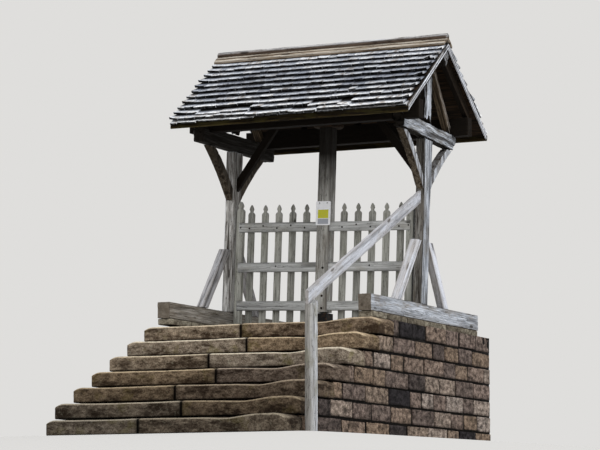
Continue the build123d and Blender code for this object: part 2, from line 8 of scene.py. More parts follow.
# %% Load the frame
import itertools
import json
import math
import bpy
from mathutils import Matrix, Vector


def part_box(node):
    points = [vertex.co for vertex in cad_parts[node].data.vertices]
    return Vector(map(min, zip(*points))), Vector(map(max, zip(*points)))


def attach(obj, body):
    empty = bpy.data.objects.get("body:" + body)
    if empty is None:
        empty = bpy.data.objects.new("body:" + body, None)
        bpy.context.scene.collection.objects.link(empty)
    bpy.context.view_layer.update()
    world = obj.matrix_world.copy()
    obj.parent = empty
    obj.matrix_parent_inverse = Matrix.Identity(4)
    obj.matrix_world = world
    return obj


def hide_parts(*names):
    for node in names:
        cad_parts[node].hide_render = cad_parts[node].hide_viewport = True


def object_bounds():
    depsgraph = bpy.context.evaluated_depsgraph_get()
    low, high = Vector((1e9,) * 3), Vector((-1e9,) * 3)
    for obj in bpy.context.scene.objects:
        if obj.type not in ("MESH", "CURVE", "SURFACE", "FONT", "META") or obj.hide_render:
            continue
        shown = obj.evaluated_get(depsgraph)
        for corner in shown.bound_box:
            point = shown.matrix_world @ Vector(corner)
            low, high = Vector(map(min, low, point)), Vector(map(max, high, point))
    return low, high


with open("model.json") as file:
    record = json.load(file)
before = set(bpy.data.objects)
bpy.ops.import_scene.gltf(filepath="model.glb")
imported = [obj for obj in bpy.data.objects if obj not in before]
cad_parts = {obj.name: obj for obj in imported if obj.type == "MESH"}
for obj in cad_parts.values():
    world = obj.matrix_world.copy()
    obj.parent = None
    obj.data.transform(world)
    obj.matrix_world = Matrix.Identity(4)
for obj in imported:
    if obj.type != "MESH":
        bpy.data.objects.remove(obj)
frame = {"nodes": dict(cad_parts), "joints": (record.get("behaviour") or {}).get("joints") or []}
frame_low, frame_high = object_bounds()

import zlib

import bmesh
import bpy
import numpy as np
from mathutils import Vector

MM = 0.001
print("frame box", tuple(frame_low), tuple(frame_high))

# %% [markdown]
# Colours are written as sRGB hex, the way a swatch is read off a screen. Shaders add up light, so one
# function turns each code to linear values. A lookup table of named colours would do as well, but hex codes
# can be compared with the real thing directly.


# %% Colours
def linear(code):
    """A hex colour such as '#a0a0a0' as linear red, green, blue and alpha."""
    parts = [int(code[i:i + 2], 16) / 255 for i in (1, 3, 5)]
    return tuple(c / 12.92 if c <= 0.04045 else ((c + 0.055) / 1.055) ** 2.4 for c in parts) + (1.0,)


print("the sRGB grey #808080 is", round(linear("#808080")[0], 3), "of full light")

# %% [markdown]
# A material could be wired in the shader editor. In a script, one small function adds any node, with what
# goes into its sockets and its settings, and gives back the output that the next node needs, so that each
# material reads from top to bottom like a recipe. Some sockets are given by number. A Math node's are its
# operands. A Map Range's are the value, the low and high ends that it comes from, and those that it goes to.

# %% Nodes
# Sockets of a Mix node that take and give colours, and its two ways of laying one colour over another.
FACTOR, UNDER, OVER, MIXED = 0, 6, 7, 2
COVER = dict(data_type="RGBA", blend_type="MIX")
TINT = dict(data_type="RGBA", blend_type="MULTIPLY")


def add(tree, kind, inputs=None, out=0, stops=(), **settings):
    """Adds a node with its settings and what feeds it, and returns one of its outputs.

    Each input is another node's output, a number or a hex colour; stops are those of a colour ramp.
    """
    node = tree.nodes.new("ShaderNode" + kind)
    for key, value in settings.items():
        setattr(node, key, value)
    for key, value in (inputs or {}).items():
        if isinstance(value, bpy.types.NodeSocket):
            tree.links.new(value, node.inputs[key])
        else:
            node.inputs[key].default_value = linear(value) if isinstance(value, str) else value
    for number, (place, code) in enumerate(stops):
        elements = node.color_ramp.elements
        element = elements[number] if number < len(elements) else elements.new(place)
        element.position = place
        element.color = linear(code)
    return node.outputs[out]


# %% A material to start from
DRY_SHEEN = 0.08    # dry timber and stone scatter nearly all light, so their gloss is turned far down
WOOD_IOR = 1.5      # typical of wood fibre, and of paint and enamel too


def surface(name, roughness, sheen=DRY_SHEEN, ior=WOOD_IOR):
    """A material that isn't metal, with its shader: returns the material, its tree and the shader."""
    material = bpy.data.materials.new(name)
    material.use_nodes = True
    tree = material.node_tree
    shader = tree.nodes["Principled BSDF"]
    shader.inputs["Roughness"].default_value = roughness
    shader.inputs["IOR"].default_value = ior
    shader.inputs["Specular IOR Level"].default_value = sheen
    print("material", name)
    return material, tree, shader


# %% [markdown]
# Weather isn't even, so shapes and tones need random values that are smooth from point to point and the
# same at every run. Blender's noise textures could move points, but only on a finished object. Here the
# points are plain arrays, so this is lattice noise in numpy: a fixed number at each corner of a grid,
# blended between.

# %% Repeatable noise
def smooth(value):
    """Eases a value from 0 to 1 in and out."""
    value = np.clip(value, 0, 1)
    return value * value * (3 - 2 * value)


SCATTER = (73856093, 19349663, 83492791, 2654435761)    # large odd numbers that scatter a corner and the seed
MIXING = ((15, 2246822519), (13, 3266489917))           # shifts and factors that mix the result
WORD, HALF_WORD = 0xFFFFFFFF, 0xFFFF


def speckle(points, seed):
    """Smooth values from -1 to 1, about one bump for each unit of distance."""
    cell = np.floor(points).astype(np.int64)
    part = smooth(points - cell)
    total = np.zeros(len(points))
    for corner in itertools.product((0, 1), repeat=3):
        at_corner = cell + corner
        key = seed * SCATTER[3]
        for axis in range(3):
            key = key ^ (at_corner[:, axis] * SCATTER[axis])
        for shift, factor in MIXING:
            key = ((key ^ (key >> shift)) * factor) & WORD
        value = ((key ^ (key >> 16)) & HALF_WORD) / HALF_WORD * 2 - 1
        total += value * np.prod(np.where(corner, part, 1 - part), axis=1)
    return total


def rough(points, seed, octaves=3):
    """Speckle at several scales at once, each half as strong and twice as fine as the last."""
    total = sum(speckle(points * 2.0 ** k, seed + k) / 2.0 ** k for k in range(octaves))
    return total / sum(0.5 ** k for k in range(octaves))


def seed_of(name, number=0):
    """A whole number that belongs to a piece's name."""
    return zlib.crc32(name.encode()) % 90000 + 7 * number


# %% [markdown]
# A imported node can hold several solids, such as the two posts, and it holds them as triangles. They could
# be split in edit mode as loose parts. Here each solid is found by walking along its edges, and triangles
# that lie flat together become one face again, because rounding an arris needs its real edges.

# %% Taking solids apart
WELD = 0.01 * MM
FLAT = math.radians(0.5)    # faces that meet at less than this are one face


def solids_of(node):
    """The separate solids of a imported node."""
    whole = bmesh.new()
    whole.from_mesh(frame["nodes"][node].data)
    bmesh.ops.remove_doubles(whole, verts=whole.verts, dist=WELD)
    solid_of, count = {}, 0
    for start in whole.verts:
        if start in solid_of:
            continue
        reached = [start]
        solid_of[start] = count
        while reached:
            here = reached.pop()
            for edge in here.link_edges:
                there = edge.other_vert(here)
                if there not in solid_of:
                    solid_of[there] = count
                    reached.append(there)
        count += 1
    number_of = {v.index: n for v, n in solid_of.items()}
    solids = []
    for n in range(count):
        one = whole.copy()
        bmesh.ops.delete(one, geom=[v for v in one.verts if number_of[v.index] != n], context="VERTS")
        bmesh.ops.dissolve_limit(one, angle_limit=FLAT, verts=one.verts, edges=one.edges)
        solids.append(one)
    whole.free()
    return solids


# %% [markdown]
# A surface needs points before it can wear away. Subdividing would stretch the grid on long timbers, and a
# voxel remesh would blur the joints. So each solid's arrises are rounded, and then it is cut by three
# families of planes into a fine grid, which keeps every tenon and notch of the real outline.

# %% Rounding and cutting fine
SHARP = math.radians(25)    # faces that meet at more than this have an arris between them


def round_edges(solid, radius):
    """Rounds the arrises of a solid."""
    edges = [e for e in solid.edges if len(e.link_faces) == 2 and e.calc_face_angle(0) > SHARP]
    bmesh.ops.bevel(solid, geom=edges, offset=radius, offset_type="OFFSET", segments=2,
                    profile=0.5, affect="EDGES", clamp_overlap=True)


def cut_fine(solid, axes, steps):
    """Cuts a solid by planes across each axis, no further apart than the step."""
    for axis, step in zip(axes, steps):
        axis = Vector(axis)
        reach = [axis.dot(v.co) for v in solid.verts]
        low, high = min(reach), max(reach)
        cuts = int((high - low) / step)
        for k in range(1, cuts):
            everything = solid.verts[:] + solid.edges[:] + solid.faces[:]
            bmesh.ops.bisect_plane(solid, geom=everything, dist=WELD, plane_no=axis,
                                   plane_co=axis * (low + (high - low) * k / cuts))


# %% [markdown]
# Grain runs along a timber, so each finish has to know its timber's own directions. They could be written
# down for every one, but the solid already shows them: its longest edge runs along the grain, and its
# widest side face is the flat of the timber.

# %% Directions of a timber
SIDEWAYS = 0.3    # a face whose normal has less than this share along the grain is a side


def long_axis(solid):
    """The direction of a timber's grain: that of its longest edge."""
    edge = max(solid.edges, key=lambda e: e.calc_length())
    along = (edge.verts[1].co - edge.verts[0].co).normalized()
    return along if max(along, key=abs) > 0 else -along


def timber_axes(solid):
    """Directions along, across and through a timber, as rows."""
    along = long_axis(solid)
    faces = [f for f in solid.faces if abs(f.normal.dot(along)) < SIDEWAYS]
    widest = max(faces, key=lambda f: f.calc_area()).normal
    through = (widest - along * widest.dot(along)).normalized()
    return np.array([along, through.cross(along), through])


# %% [markdown]
# Many solids become one mesh, because a hundred separate objects would be slow to handle and to export.
# Joining finished objects would work too. The pile gathers plain arrays instead, and with them the values
# that the finishes read at each point: where it lies in the grain or the stone, how far it has worn, how
# it faces the weather, and the tone of its own board or block.


# %% Gathering surfaces into a piece
class Pile:
    """Surfaces of many solids on their way to one mesh."""

    def __init__(self):
        self.points, self.corners, self.counts, self.values = [], [], [], {}
        self.size = 0

    def add(self, points, corners, counts, **values):
        self.points.append(points)
        self.corners.append(np.asarray(corners) + self.size)
        self.counts.append(np.asarray(counts))
        self.size += len(points)
        for key, value in values.items():
            self.values.setdefault(key, []).append(value)

    def piece(self, name, material, body, nodes=(), slot=None):
        """Makes the mesh object, finished and riding on its body in place of its nodes."""
        points, corners = np.concatenate(self.points), np.concatenate(self.corners)
        counts = np.concatenate(self.counts)
        mesh = bpy.data.meshes.new(name)
        mesh.vertices.add(len(points))
        mesh.vertices.foreach_set("co", points.ravel())
        mesh.loops.add(len(corners))
        mesh.loops.foreach_set("vertex_index", corners.astype(np.int32))
        mesh.polygons.add(len(counts))
        starts = np.concatenate([[0], np.cumsum(counts)[:-1]]).astype(np.int32)
        mesh.polygons.foreach_set("loop_start", starts)
        mesh.polygons.foreach_set("use_smooth", np.ones(len(counts), bool))
        for key, parts in self.values.items():
            value = np.concatenate(parts)
            kind = "FLOAT_VECTOR" if value.ndim == 2 else "FLOAT"
            layer = mesh.attributes.new(key, kind, "POINT")
            layer.data.foreach_set("vector" if value.ndim == 2 else "value", value.ravel())
        mesh.update(calc_edges=True)
        mesh.validate()
        thing = bpy.data.objects.new(name, mesh)
        bpy.context.scene.collection.objects.link(thing)
        mesh.materials.append(material)
        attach(thing, body)
        if nodes:
            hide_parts(*nodes)
        print(f"{name}: {len(counts)} faces")
        return thing


# %% From a solid to plain arrays
def arrays_of(solid):
    """Points, normals, face corners and corner counts of a solid."""
    solid.normal_update()
    mesh = bpy.data.meshes.new("cut")
    solid.to_mesh(mesh)
    points = np.empty(len(mesh.vertices) * 3)
    mesh.vertices.foreach_get("co", points)
    normals = np.array([v.normal[:] for v in solid.verts])
    corners = np.empty(len(mesh.loops), np.int32)
    mesh.loops.foreach_get("vertex_index", corners)
    counts = np.empty(len(mesh.polygons), np.int32)
    mesh.polygons.foreach_get("loop_total", counts)
    bpy.data.meshes.remove(mesh)
    solid.free()
    return points.reshape(-1, 3), normals, corners, counts


# %% [markdown]
# Oak left outdoors loses its soft spring wood first, so long fissures open along the grain, the arrises
# fray into a wavy line and the ends split. This could be sculpted, or left to a bump, but a bump leaves the
# outline straight. Here each point moves inwards along its own normal, by an amount that noise gives.
# Nothing is ever added, so a worn timber stays inside its solid and clear of its neighbours.

# %% Kinds of wear
# How far each kind of wear goes, in millimetres: open fissures, frayed and bitten arrises (arris is how far
# in from the edge they reach), faces that were never quite flat (warp) and ends that are eaten away (ragged).
SAWN = dict(fissure=1.8, fray=2, bite=4, arris=12, warp=2, ragged=0)
HEWN = dict(fissure=4, fray=5, bite=14, arris=18, warp=5, ragged=10)
GNAWED = dict(fissure=9, fray=18, bite=42, arris=32, warp=22, ragged=100)
THIN = dict(fissure=1.5, fray=2, bite=4, arris=4, warp=1, ragged=6)
print("deepest bite", GNAWED["bite"], "mm")

# %% How weather takes timber away
FISSURE_LENGTH, FISSURE_WIDTH = 0.50, 26 * MM
FISSURE_OPENS, FISSURE_RANGE = 0.16, 0.30    # noise where a fissure starts, and how much more opens it
ADZE_LENGTH, ADZE_WIDTH = 0.26, 0.15         # strokes that left the faces uneven
FRAY_LENGTH = 0.10                           # from one frayed place on an arris to the next
ARRIS_APART = 3.5                            # sets the four arrises apart in the noise
BITE_SCALE = 0.42                            # bites are longer than frayed places by this
TEAR_WIDTH = 70 * MM                         # splinters left at a torn end
END_REACH = 75 * MM
END_SPLIT = 2.5                              # fissures are so much deeper at the ends


def wear_away(local, half, seed, wear):
    """How deep each point of a timber goes, how far its ends draw back, its fissures and its arrises."""
    along, across, through = local.T
    to_edge = np.hypot(np.maximum(half[1] - abs(across), 0), np.maximum(half[2] - abs(through), 0))
    near_edge = np.exp(-to_edge / wear["arris"])
    near_end = np.exp(-np.maximum(half[0] - abs(along), 0) / END_REACH)
    fissures = np.stack([along / FISSURE_LENGTH, across / FISSURE_WIDTH, through / FISSURE_WIDTH], 1)
    run = rough(fissures + seed, seed)
    groove = np.clip((run - FISSURE_OPENS) / FISSURE_RANGE, 0, 1)
    line = np.stack([along / FRAY_LENGTH, np.sign(across) * ARRIS_APART, np.sign(through) * ARRIS_APART], 1)
    frayed = np.clip(rough(line + seed, seed + 11, 2) + 0.45, 0, 1.3)
    bitten = np.clip(speckle(line * BITE_SCALE + seed, seed + 23) - 0.30, 0, 1) / 0.7
    strokes = np.stack([along / ADZE_LENGTH, across / ADZE_WIDTH, through / ADZE_WIDTH], 1)
    hewn = (rough(strokes + seed, seed + 31, 2) + 1) / 2
    depth = wear["fissure"] * groove + near_edge * (wear["fray"] * frayed + wear["bite"] * bitten)
    depth = depth + wear["warp"] * hewn + END_SPLIT * wear["fissure"] * near_end * np.clip(run, 0, 1)
    tears = np.stack([across / TEAR_WIDTH, through / TEAR_WIDTH, np.sign(along)], 1)
    torn = np.clip(rough(tears + seed, seed + 41, 2) + 0.4, 0, 1)
    return depth, wear["ragged"] * near_end * torn * np.sign(along), groove, near_edge


# %% A worn timber and what its finish reads
OUTER_FROM = 1.1                             # further out than this, a face turned outwards takes the rain
SHELTER_FROM, SHELTER_DEPTH = 3.05, 0.6      # painted shade under the roof starts at this height, and is full this much higher
DARK_FISSURE = 3.5 * MM                      # a fissure this deep is painted fully dark, as its dirt and shade
TONE_SPREAD = 0.6                            # how far the tones of two timbers differ by chance
PATTERN_STEP = 0.37                          # sets the timbers apart in their pattern


def worn_timber(points, normals, axes, seed, wear, lighter):
    """Points of a timber after weather, with the values its finish reads."""
    wear = {kind: size * MM for kind, size in wear.items()}
    centre = (points.max(0) + points.min(0)) / 2
    local = (points - centre) @ axes.T
    half = np.abs(local).max(0)
    depth, pull, groove, near_edge = wear_away(local, half, seed, wear)
    outward = np.where(abs(points[:, 0]) > OUTER_FROM, np.sign(points[:, 0]), 0)
    outer = np.clip(normals[:, 0] * outward, 0, 1)
    roof_shade_share = np.clip((points[:, 2] - SHELTER_FROM) / SHELTER_DEPTH, 0, 1)
    upward = local[:, 1] * (1 if axes[1][2] > 0 else -1) / half[1]
    tone = TONE_SPREAD * speckle(np.full((1, 3), seed * 0.713), seed)[0] + lighter[int(centre[0] > 0)]
    return points - normals * depth[:, None] - np.outer(pull, axes[0]), {
        "grain": local + np.array([seed % 97, seed % 13, seed % 29]) * PATTERN_STEP,
        "groove": groove * min(1.0, wear["fissure"] / DARK_FISSURE),
        "arris": near_edge,
        "upward": (upward + 1) / 2,
        "end_grain": np.clip(abs(normals @ axes[0]) * 2 - 1, 0, 1),
        "outer_side": outer,
        # painted shade: points high under the roof, but not faces turned outwards
        "under_roof": roof_shade_share * (1 - outer),
        "front_side": np.clip(-normals[:, 1], 0, 1),
        "sky_side": np.clip(normals[:, 2], 0, 1),
        "low_side": np.clip(-normals[:, 2], 0, 1),
        "tone": np.full(len(points), tone),
    }


# %% Making pieces of timber
def timbers(name, nodes, body, slot, material, wear, steps=(26, 9, 9), edge=5, lighter=(0, 0),
            wear_left=None):
    """One piece from the timbers of some nodes, cut fine and weathered.

    steps and edge are the grid and the rounding of the arrises in millimetres, lighter gives how much
    paler than usual the timbers on the left and on the right are, and wear_left is for those on the left.
    """
    pile = Pile()
    for node in nodes:
        for number, solid in enumerate(solids_of(node)):
            axes = timber_axes(solid)
            round_edges(solid, edge * MM)
            cut_fine(solid, axes, [s * MM for s in steps])
            points, normals, corners, counts = arrays_of(solid)
            own_wear = wear_left if wear_left and points[:, 0].mean() < 0 else wear
            points, values = worn_timber(points, normals, axes, seed_of(node, number), own_wear, lighter)
            pile.add(points, corners, counts, **values)
    return pile.piece(name, material, body, nodes, slot)


# %% [markdown]
# All the timber is oak, hewn, cleft or sawn, and never painted. Rain and light turn it silver where they
# reach it, it keeps a warm brown under the roof, and algae make it green or nearly black where it stays
# wet. The finish also paints shade: brown on fronts and undersides, nearly black high under the roof, and
# dark in fissures along with their dirt. A photographed board would repeat on every timber. This finish is
# a pattern drawn in each timber's own directions instead, and it reads at each point whether the wood is
# worn, under the roof, facing the front, facing down or turned to the sky. Oak's pores and fibres lie about
# 1 mm apart, too fine to show from here, so they are drawn ten times as coarse. Dense and open bands of
# growth rings, stains and drying cracks have sizes that real ones reach.

# %% Sizes in the grain of oak
PORES_APART, COARSER = 1 * MM, 10      # real pores, and how much coarser they are drawn to show
FIBRE, FIBRE_RUN = COARSER * PORES_APART, 0.30    # across and along the grain
BAND, BAND_RUN = 40 * MM, 0.90
STAIN, STAIN_RUN = 150 * MM, 0.40
CRACK, CRACK_RUN = 34 * MM, 0.60
KNOT_APART = (0.55, 0.17)              # from knot to knot, along and across the grain
BUMP = 4 * MM                          # depth of the open grain
DULL_SILVER = "#d9dfe8"
BAND_SHADE = "#716c68"
HOLLOW_DIRT_AND_SHADE = "#1f1a15"                       # dirt and painted shade in fissures, cracks and knots
ROOF_SHADE = "#15110d"                 # painted shade under the roof, nearly black
STRIP_WOBBLE = 0.22                    # how far a strip of colour strays, as a share of the board
print("fibres", round(FIBRE / MM), "mm apart, bands", round(BAND / MM), "mm")


def streaks(tree, length, width, detail):
    """Noise drawn out along the grain, in each timber's own directions."""
    grain = add(tree, "Attribute", out="Vector", attribute_name="grain")
    scaled = add(tree, "Mapping", {"Vector": grain, "Scale": (1 / length, 1 / width, 1 / width)})
    return add(tree, "TexNoise", {"Vector": scaled, "Scale": 1.0, "Detail": detail, "Roughness": 0.62})


# %% The colour of unpainted oak
def oak_grain(tree, side, fibres, colours, contrast, bleach, shading):
    """Brown or grey oak with its fibres, silver on the sides that rain reaches, and painted shade on its
    fronts and undersides.
    """
    pale, middle, dark, silver, shade = colours[:5]
    spread = 0.07 / contrast
    colour = add(tree, "ValToRGB", {0: fibres},
                 stops=[(0.48 - spread, dark), (0.48, middle), (0.48 + spread, pale)])
    silvered = add(tree, "ValToRGB", {0: fibres}, stops=[
        (0.48 - 1.3 * spread, middle), (0.48, silver), (0.48 + 1.3 * spread, DULL_SILVER)])
    exposed = add(tree, "Math", {0: side["sky_side"], 1: 1.3, 2: side["outer_side"]},
                  operation="MULTIPLY_ADD", use_clamp=True)
    bleached = add(tree, "Math", {0: exposed, 1: bleach}, operation="MULTIPLY")
    colour = add(tree, "Mix", {FACTOR: bleached, UNDER: colour, OVER: silvered}, MIXED, **COVER)
    # painted shade: fronts and undersides are mixed towards the shade colour, less on paler timbers
    turned_away = add(tree, "Math", {0: side["front_side"], 1: side["low_side"]}, operation="MAXIMUM")
    side_shade = add(tree, "MapRange", {0: side["tone"], 1: 0.6, 2: 2.2, 3: shading, 4: 0.0})
    side_shade = add(tree, "Math", {0: turned_away, 1: side_shade}, operation="MULTIPLY")
    return add(tree, "Mix", {FACTOR: side_shade, UNDER: colour, OVER: shade}, MIXED, **COVER)


def oak_hollows(tree, side, gap):
    """Where dirt and painted shade lie: in the fissures, the drying cracks and the knots."""
    grain = add(tree, "Attribute", out="Vector", attribute_name="grain")
    along, across = KNOT_APART
    spaced = add(tree, "Mapping", {"Vector": grain, "Scale": (1 / along, 1 / across, 1 / across)})
    knots = add(tree, "TexVoronoi", {"Vector": spaced, "Scale": 1.0})
    knot = add(tree, "MapRange", {0: knots, 1: 0.09, 2: 0.14, 3: 1.0, 4: 0.0})
    hollow = add(tree, "Math", {0: side["groove"], 1: gap}, operation="MAXIMUM")
    return add(tree, "Math", {0: hollow, 1: knot}, operation="MAXIMUM")


# %% Unpainted oak as a material
SIDES = ("outer_side", "front_side", "sky_side", "low_side", "under_roof", "groove", "arris", "upward",
         "end_grain", "tone")


def weathered_oak(name, *colours, contrast=1.0, bleach=0.9, shading=0.5, staining=0.5, sheltered=0.92,
                  strips=None):
    """Unpainted oak, with the fibres pale, middle and dark, then silvered, shaded and stained.

    contrast is that of the grain, bleach, shading and staining are how strong the silver, the painted shade
    on the fronts and undersides and the stains are, sheltered is how strong the painted shade under the roof
    is, and strips colours a board from its lower edge to its upper one.
    """
    dark, stain = colours[2], colours[5]
    material, tree, shader = surface(name, 0.86)
    side = {key: add(tree, "Attribute", out="Fac", attribute_name=key) for key in SIDES}
    fibres, bands = streaks(tree, FIBRE_RUN, FIBRE, 5), streaks(tree, BAND_RUN, BAND, 4)
    stains, cracks = streaks(tree, STAIN_RUN, STAIN, 5), streaks(tree, CRACK_RUN, CRACK, 3)

    colour = oak_grain(tree, side, fibres, colours, contrast, bleach, shading)
    banded = add(tree, "ValToRGB", {0: bands}, stops=[(0.36, BAND_SHADE), (0.54, "#ffffff")])
    colour = add(tree, "Mix", {FACTOR: min(0.85 * contrast, 1.0), UNDER: colour, OVER: banded}, MIXED, **TINT)
    if strips:
        wobble = add(tree, "Math", {0: bands, 1: STRIP_WOBBLE, 2: side["upward"]}, operation="MULTIPLY_ADD")
        level = add(tree, "Math", {0: wobble, 1: STRIP_WOBBLE / 2}, operation="SUBTRACT")
        strip = add(tree, "ValToRGB", {0: level}, stops=strips)
        colour = add(tree, "Mix", {FACTOR: 1.0, UNDER: colour, OVER: strip}, MIXED, **TINT)
    stained = add(tree, "MapRange", {0: side["tone"], 1: 0.6, 2: 2.2, 3: staining, 4: 0.15 * staining})
    patch = add(tree, "MapRange", {0: stains, 1: 0.52, 2: 0.62, 3: 0.0, 4: stained})
    colour = add(tree, "Mix", {FACTOR: patch, UNDER: colour, OVER: stain}, MIXED, **COVER)

    gap = add(tree, "Math", {0: cracks, 1: 0.5, 2: 0.010 * contrast}, operation="COMPARE")
    # dirt and painted shade in the hollows
    dirt_and_shade = add(tree, "Math", {0: oak_hollows(tree, side, gap), 1: 0.82}, operation="MULTIPLY")
    colour = add(tree, "Mix", {FACTOR: dirt_and_shade, UNDER: colour, OVER: HOLLOW_DIRT_AND_SHADE}, MIXED, **COVER)
    rim = add(tree, "Math", {0: side["arris"], 1: 0.3 / contrast}, operation="MULTIPLY", use_clamp=True)
    colour = add(tree, "Mix", {FACTOR: rim, UNDER: colour, OVER: dark}, MIXED, **COVER)
    ends = add(tree, "Math", {0: side["end_grain"], 1: 0.6}, operation="MULTIPLY")
    colour = add(tree, "Mix", {FACTOR: ends, UNDER: colour, OVER: dark}, MIXED, **COVER)
    # painted shade: high under the roof the wood is darkened towards ROOF_SHADE
    roof_shade_share = add(tree, "Math", {0: side["under_roof"], 1: sheltered}, operation="MULTIPLY")
    colour = add(tree, "Mix", {FACTOR: roof_shade_share, UNDER: colour, OVER: ROOF_SHADE}, MIXED, **COVER)
    own = add(tree, "MapRange", {0: side["tone"], 1: -1.5, 2: 4.0, 3: 0.55, 4: 2.2})
    own = add(tree, "CombineColor", {0: own, 1: own, 2: own})
    colour = add(tree, "Mix", {FACTOR: 1.0, UNDER: colour, OVER: own}, MIXED, **TINT)
    tree.links.new(colour, shader.inputs["Base Color"])

    lines = add(tree, "Bump", {"Height": fibres, "Distance": BUMP * contrast, "Strength": 0.9})
    closed = add(tree, "Math", {0: 1.0, 1: gap}, operation="SUBTRACT")
    opened = add(tree, "Bump", {"Height": closed, "Distance": BUMP, "Strength": 0.8, "Normal": lines})
    tree.links.new(opened, shader.inputs["Normal"])
    return material


# %% [markdown]
# One recipe makes all the oak, with its own colours and strength for each way that a timber was made and
# has aged. The six colours are those of pale, middle and dark fibres, of silvered wood, of sides turned
# away from the light, and of stains.

# %% Oak of the two frames
# Hewn with an adze and open to the rain: rough and dull grey, with brown left in the hollows.
FRAME_OAK = weathered_oak("hewn_oak_weathered_frame", "#a3a3a1", "#7c7a76", "#45403a", "#9fa8b6", "#676056",
                          "#5a544a")
# Hewn posts, washed by every rain: softer lines and a cooler grey.
POST_OAK = weathered_oak("hewn_oak_weathered_posts", "#a6a6a5", "#807e7b", "#48433e", "#a1aab8", "#6b655c",
                         "#5f594f", contrast=0.8, sheltered=0.5)
# Hewn sills that lie low on damp stone: worn nearly flat, with a warm, earthy grey.
SILL_OAK = weathered_oak("hewn_oak_weathered_sills", "#a8a49e", "#8a857d", "#544c42", "#a0a7b2", "#857a6d",
                         "#746a5e", contrast=0.5)
# Hewn braces, half under the roof: dark brown, with painted shade under the roof and on their fronts, silver
# only on their backs.
BRACE_OAK = weathered_oak("hewn_oak_weathered_braces", "#a2988b", "#7d7264", "#42382d", "#aab1bd", "#655947",
                          "#5a5042", shading=0.6, sheltered=0.5)
# Hewn rafters that rain hardly reaches: the brown of old dry oak.
BROWN_OAK = weathered_oak("hewn_oak_sheltered_brown", "#8d7c66", "#6b5b48", "#352b21", "#85796a", "#5d4e3d",
                          "#4a3f32", bleach=0.4, shading=0.4, sheltered=0.3)
# Sawn beams right under the covering: painted nearly black, as the shade where no light gets.
INNER_OAK = weathered_oak("sawn_oak_in_painted_shade", "#342a20", "#221b14", "#0f0c09", "#2a241e", "#17120e",
                          "#16110e", bleach=0.0)

# %% Oak of the gate, struts and handrail
# Sawn lengths bleached by the sun: almost white, with faint lines.
PALE_OAK = weathered_oak("sawn_oak_bleached", "#d2d2d6", "#bcbcc2", "#8b857f", "#c9cdd7", "#b9b4b0",
                         "#9d958b", contrast=0.38, shading=0.4, staining=0.35)
# Sawn and planed rails, younger than the frames: light grey and even.
GATE_OAK = weathered_oak("planed_oak_weathered_rails", "#dedfdf", "#c6c8c8", "#757472", "#d3d6d9", "#c2c3c0",
                         "#a5a39c", contrast=0.42, bleach=0.5, shading=0.2, staining=0.6)
# The planed pivot post, which reaches up under the roof: light grey below, painted nearly black at its head
# as the shade there.
PIVOT_OAK = weathered_oak("planed_oak_weathered_pivot_post", "#dadad6", "#bebdb8", "#68645e", "#cfd2d5",
                          "#b8b5ae", "#98938a", contrast=0.6, bleach=0.5, shading=0.3, staining=0.7,
                          sheltered=0.97)
# Sawn pales behind the rails: thin wood that algae tint a little green.
PALING_OAK = weathered_oak("sawn_oak_weathered_pales", "#b9b9b2", "#a3a39c", "#60605a", "#b4b8b8", "#a6a69f",
                           "#85857a", contrast=0.45, bleach=0.5, shading=0.2, staining=0.6)
# The newel, a peeled round pole: even grey with hardly any lines.
NEWEL_OAK = weathered_oak("peeled_oak_weathered_newel", "#a9a7a6", "#939190", "#67645c", "#b9bcc2",
                          "#918e84", "#77745f", contrast=0.5, shading=0.4)

# %% Oak of the roof's edges
# The sawn eaves board under the dripping shingles: moss green below, black above.
MOSSY_OAK = weathered_oak("sawn_oak_mossy_eaves", "#7a6d49", "#4d4229", "#221b10", "#6a6044", "#302818",
                          "#3b3719", bleach=0.3, shading=0.5, sheltered=0.0, strips=[
                              (0.0, "#ffffff"), (0.16, "#e8e0c8"), (0.30, "#8a8272"), (1.0, "#8a8272")])
# Sawn ridge boards, newer than the shingles: tan, with painted shadow lines along them, one at the middle and
# one under the cap.
RIDGE_OAK = weathered_oak("sawn_oak_tan_ridge", "#dcd6cd", "#b5ada1", "#6a5a4a", "#ece8df", "#aa9c88",
                          "#837462", contrast=0.7, bleach=0.4, shading=0.3, sheltered=0.0, strips=[
                              (0.0, "#8d7c6a"), (0.14, "#ffffff"), (0.36, "#f4ecde"), (0.42, "#57402f"),
                              (0.50, "#57402f"), (0.56, "#f0ece6"), (0.86, "#e6e2dc"), (0.94, "#2e241d")])
# The planed ridge cap: white where it faces the sky, partly bleached and partly a painted highlight, with
# painted shade, a brown, on its sides.
CAP_OAK = weathered_oak("planed_oak_cap_bleached_and_painted_light", "#6d5e52", "#51453c", "#2b241f", "#ffffff", "#4a3c32",
                        "#4f443b", bleach=1.0, shading=0.7, staining=0.1, sheltered=0.0)
# Sawn verge boards, two in steps: bleached, with a black shadow line under each.
VERGE_OAK = weathered_oak("sawn_oak_bleached_verge", "#e2e5ec", "#c8ccd5", "#7c7a78", "#dfe3ec", "#c6c7cf",
                          "#8f8a86", contrast=0.8, shading=0.3, sheltered=0.0, strips=[
                              (0.0, "#ffffff"), (0.34, "#ffffff"), (0.38, "#0b0a0a"), (0.52, "#0b0a0a"),
                              (0.56, "#ffffff"), (0.88, "#ffffff"), (0.92, "#0b0a0a"), (1.0, "#0b0a0a")])

# %% [markdown]
# The two frames, with their sills and braces, carry the roof. Each could be one mesh, but a piece for each
# kind of timber gives every kind its own wear. The tie beams are the most worn timbers of all, above all
# the right one, whose arrises are wavy and whose ends are ragged.

# %% The two frames
timbers("frame_sills", ["sills"], "frame", "weathered_oak", SILL_OAK, dict(HEWN, fissure=2), (30, 11, 11), 10,
        (0.1, 0.4))
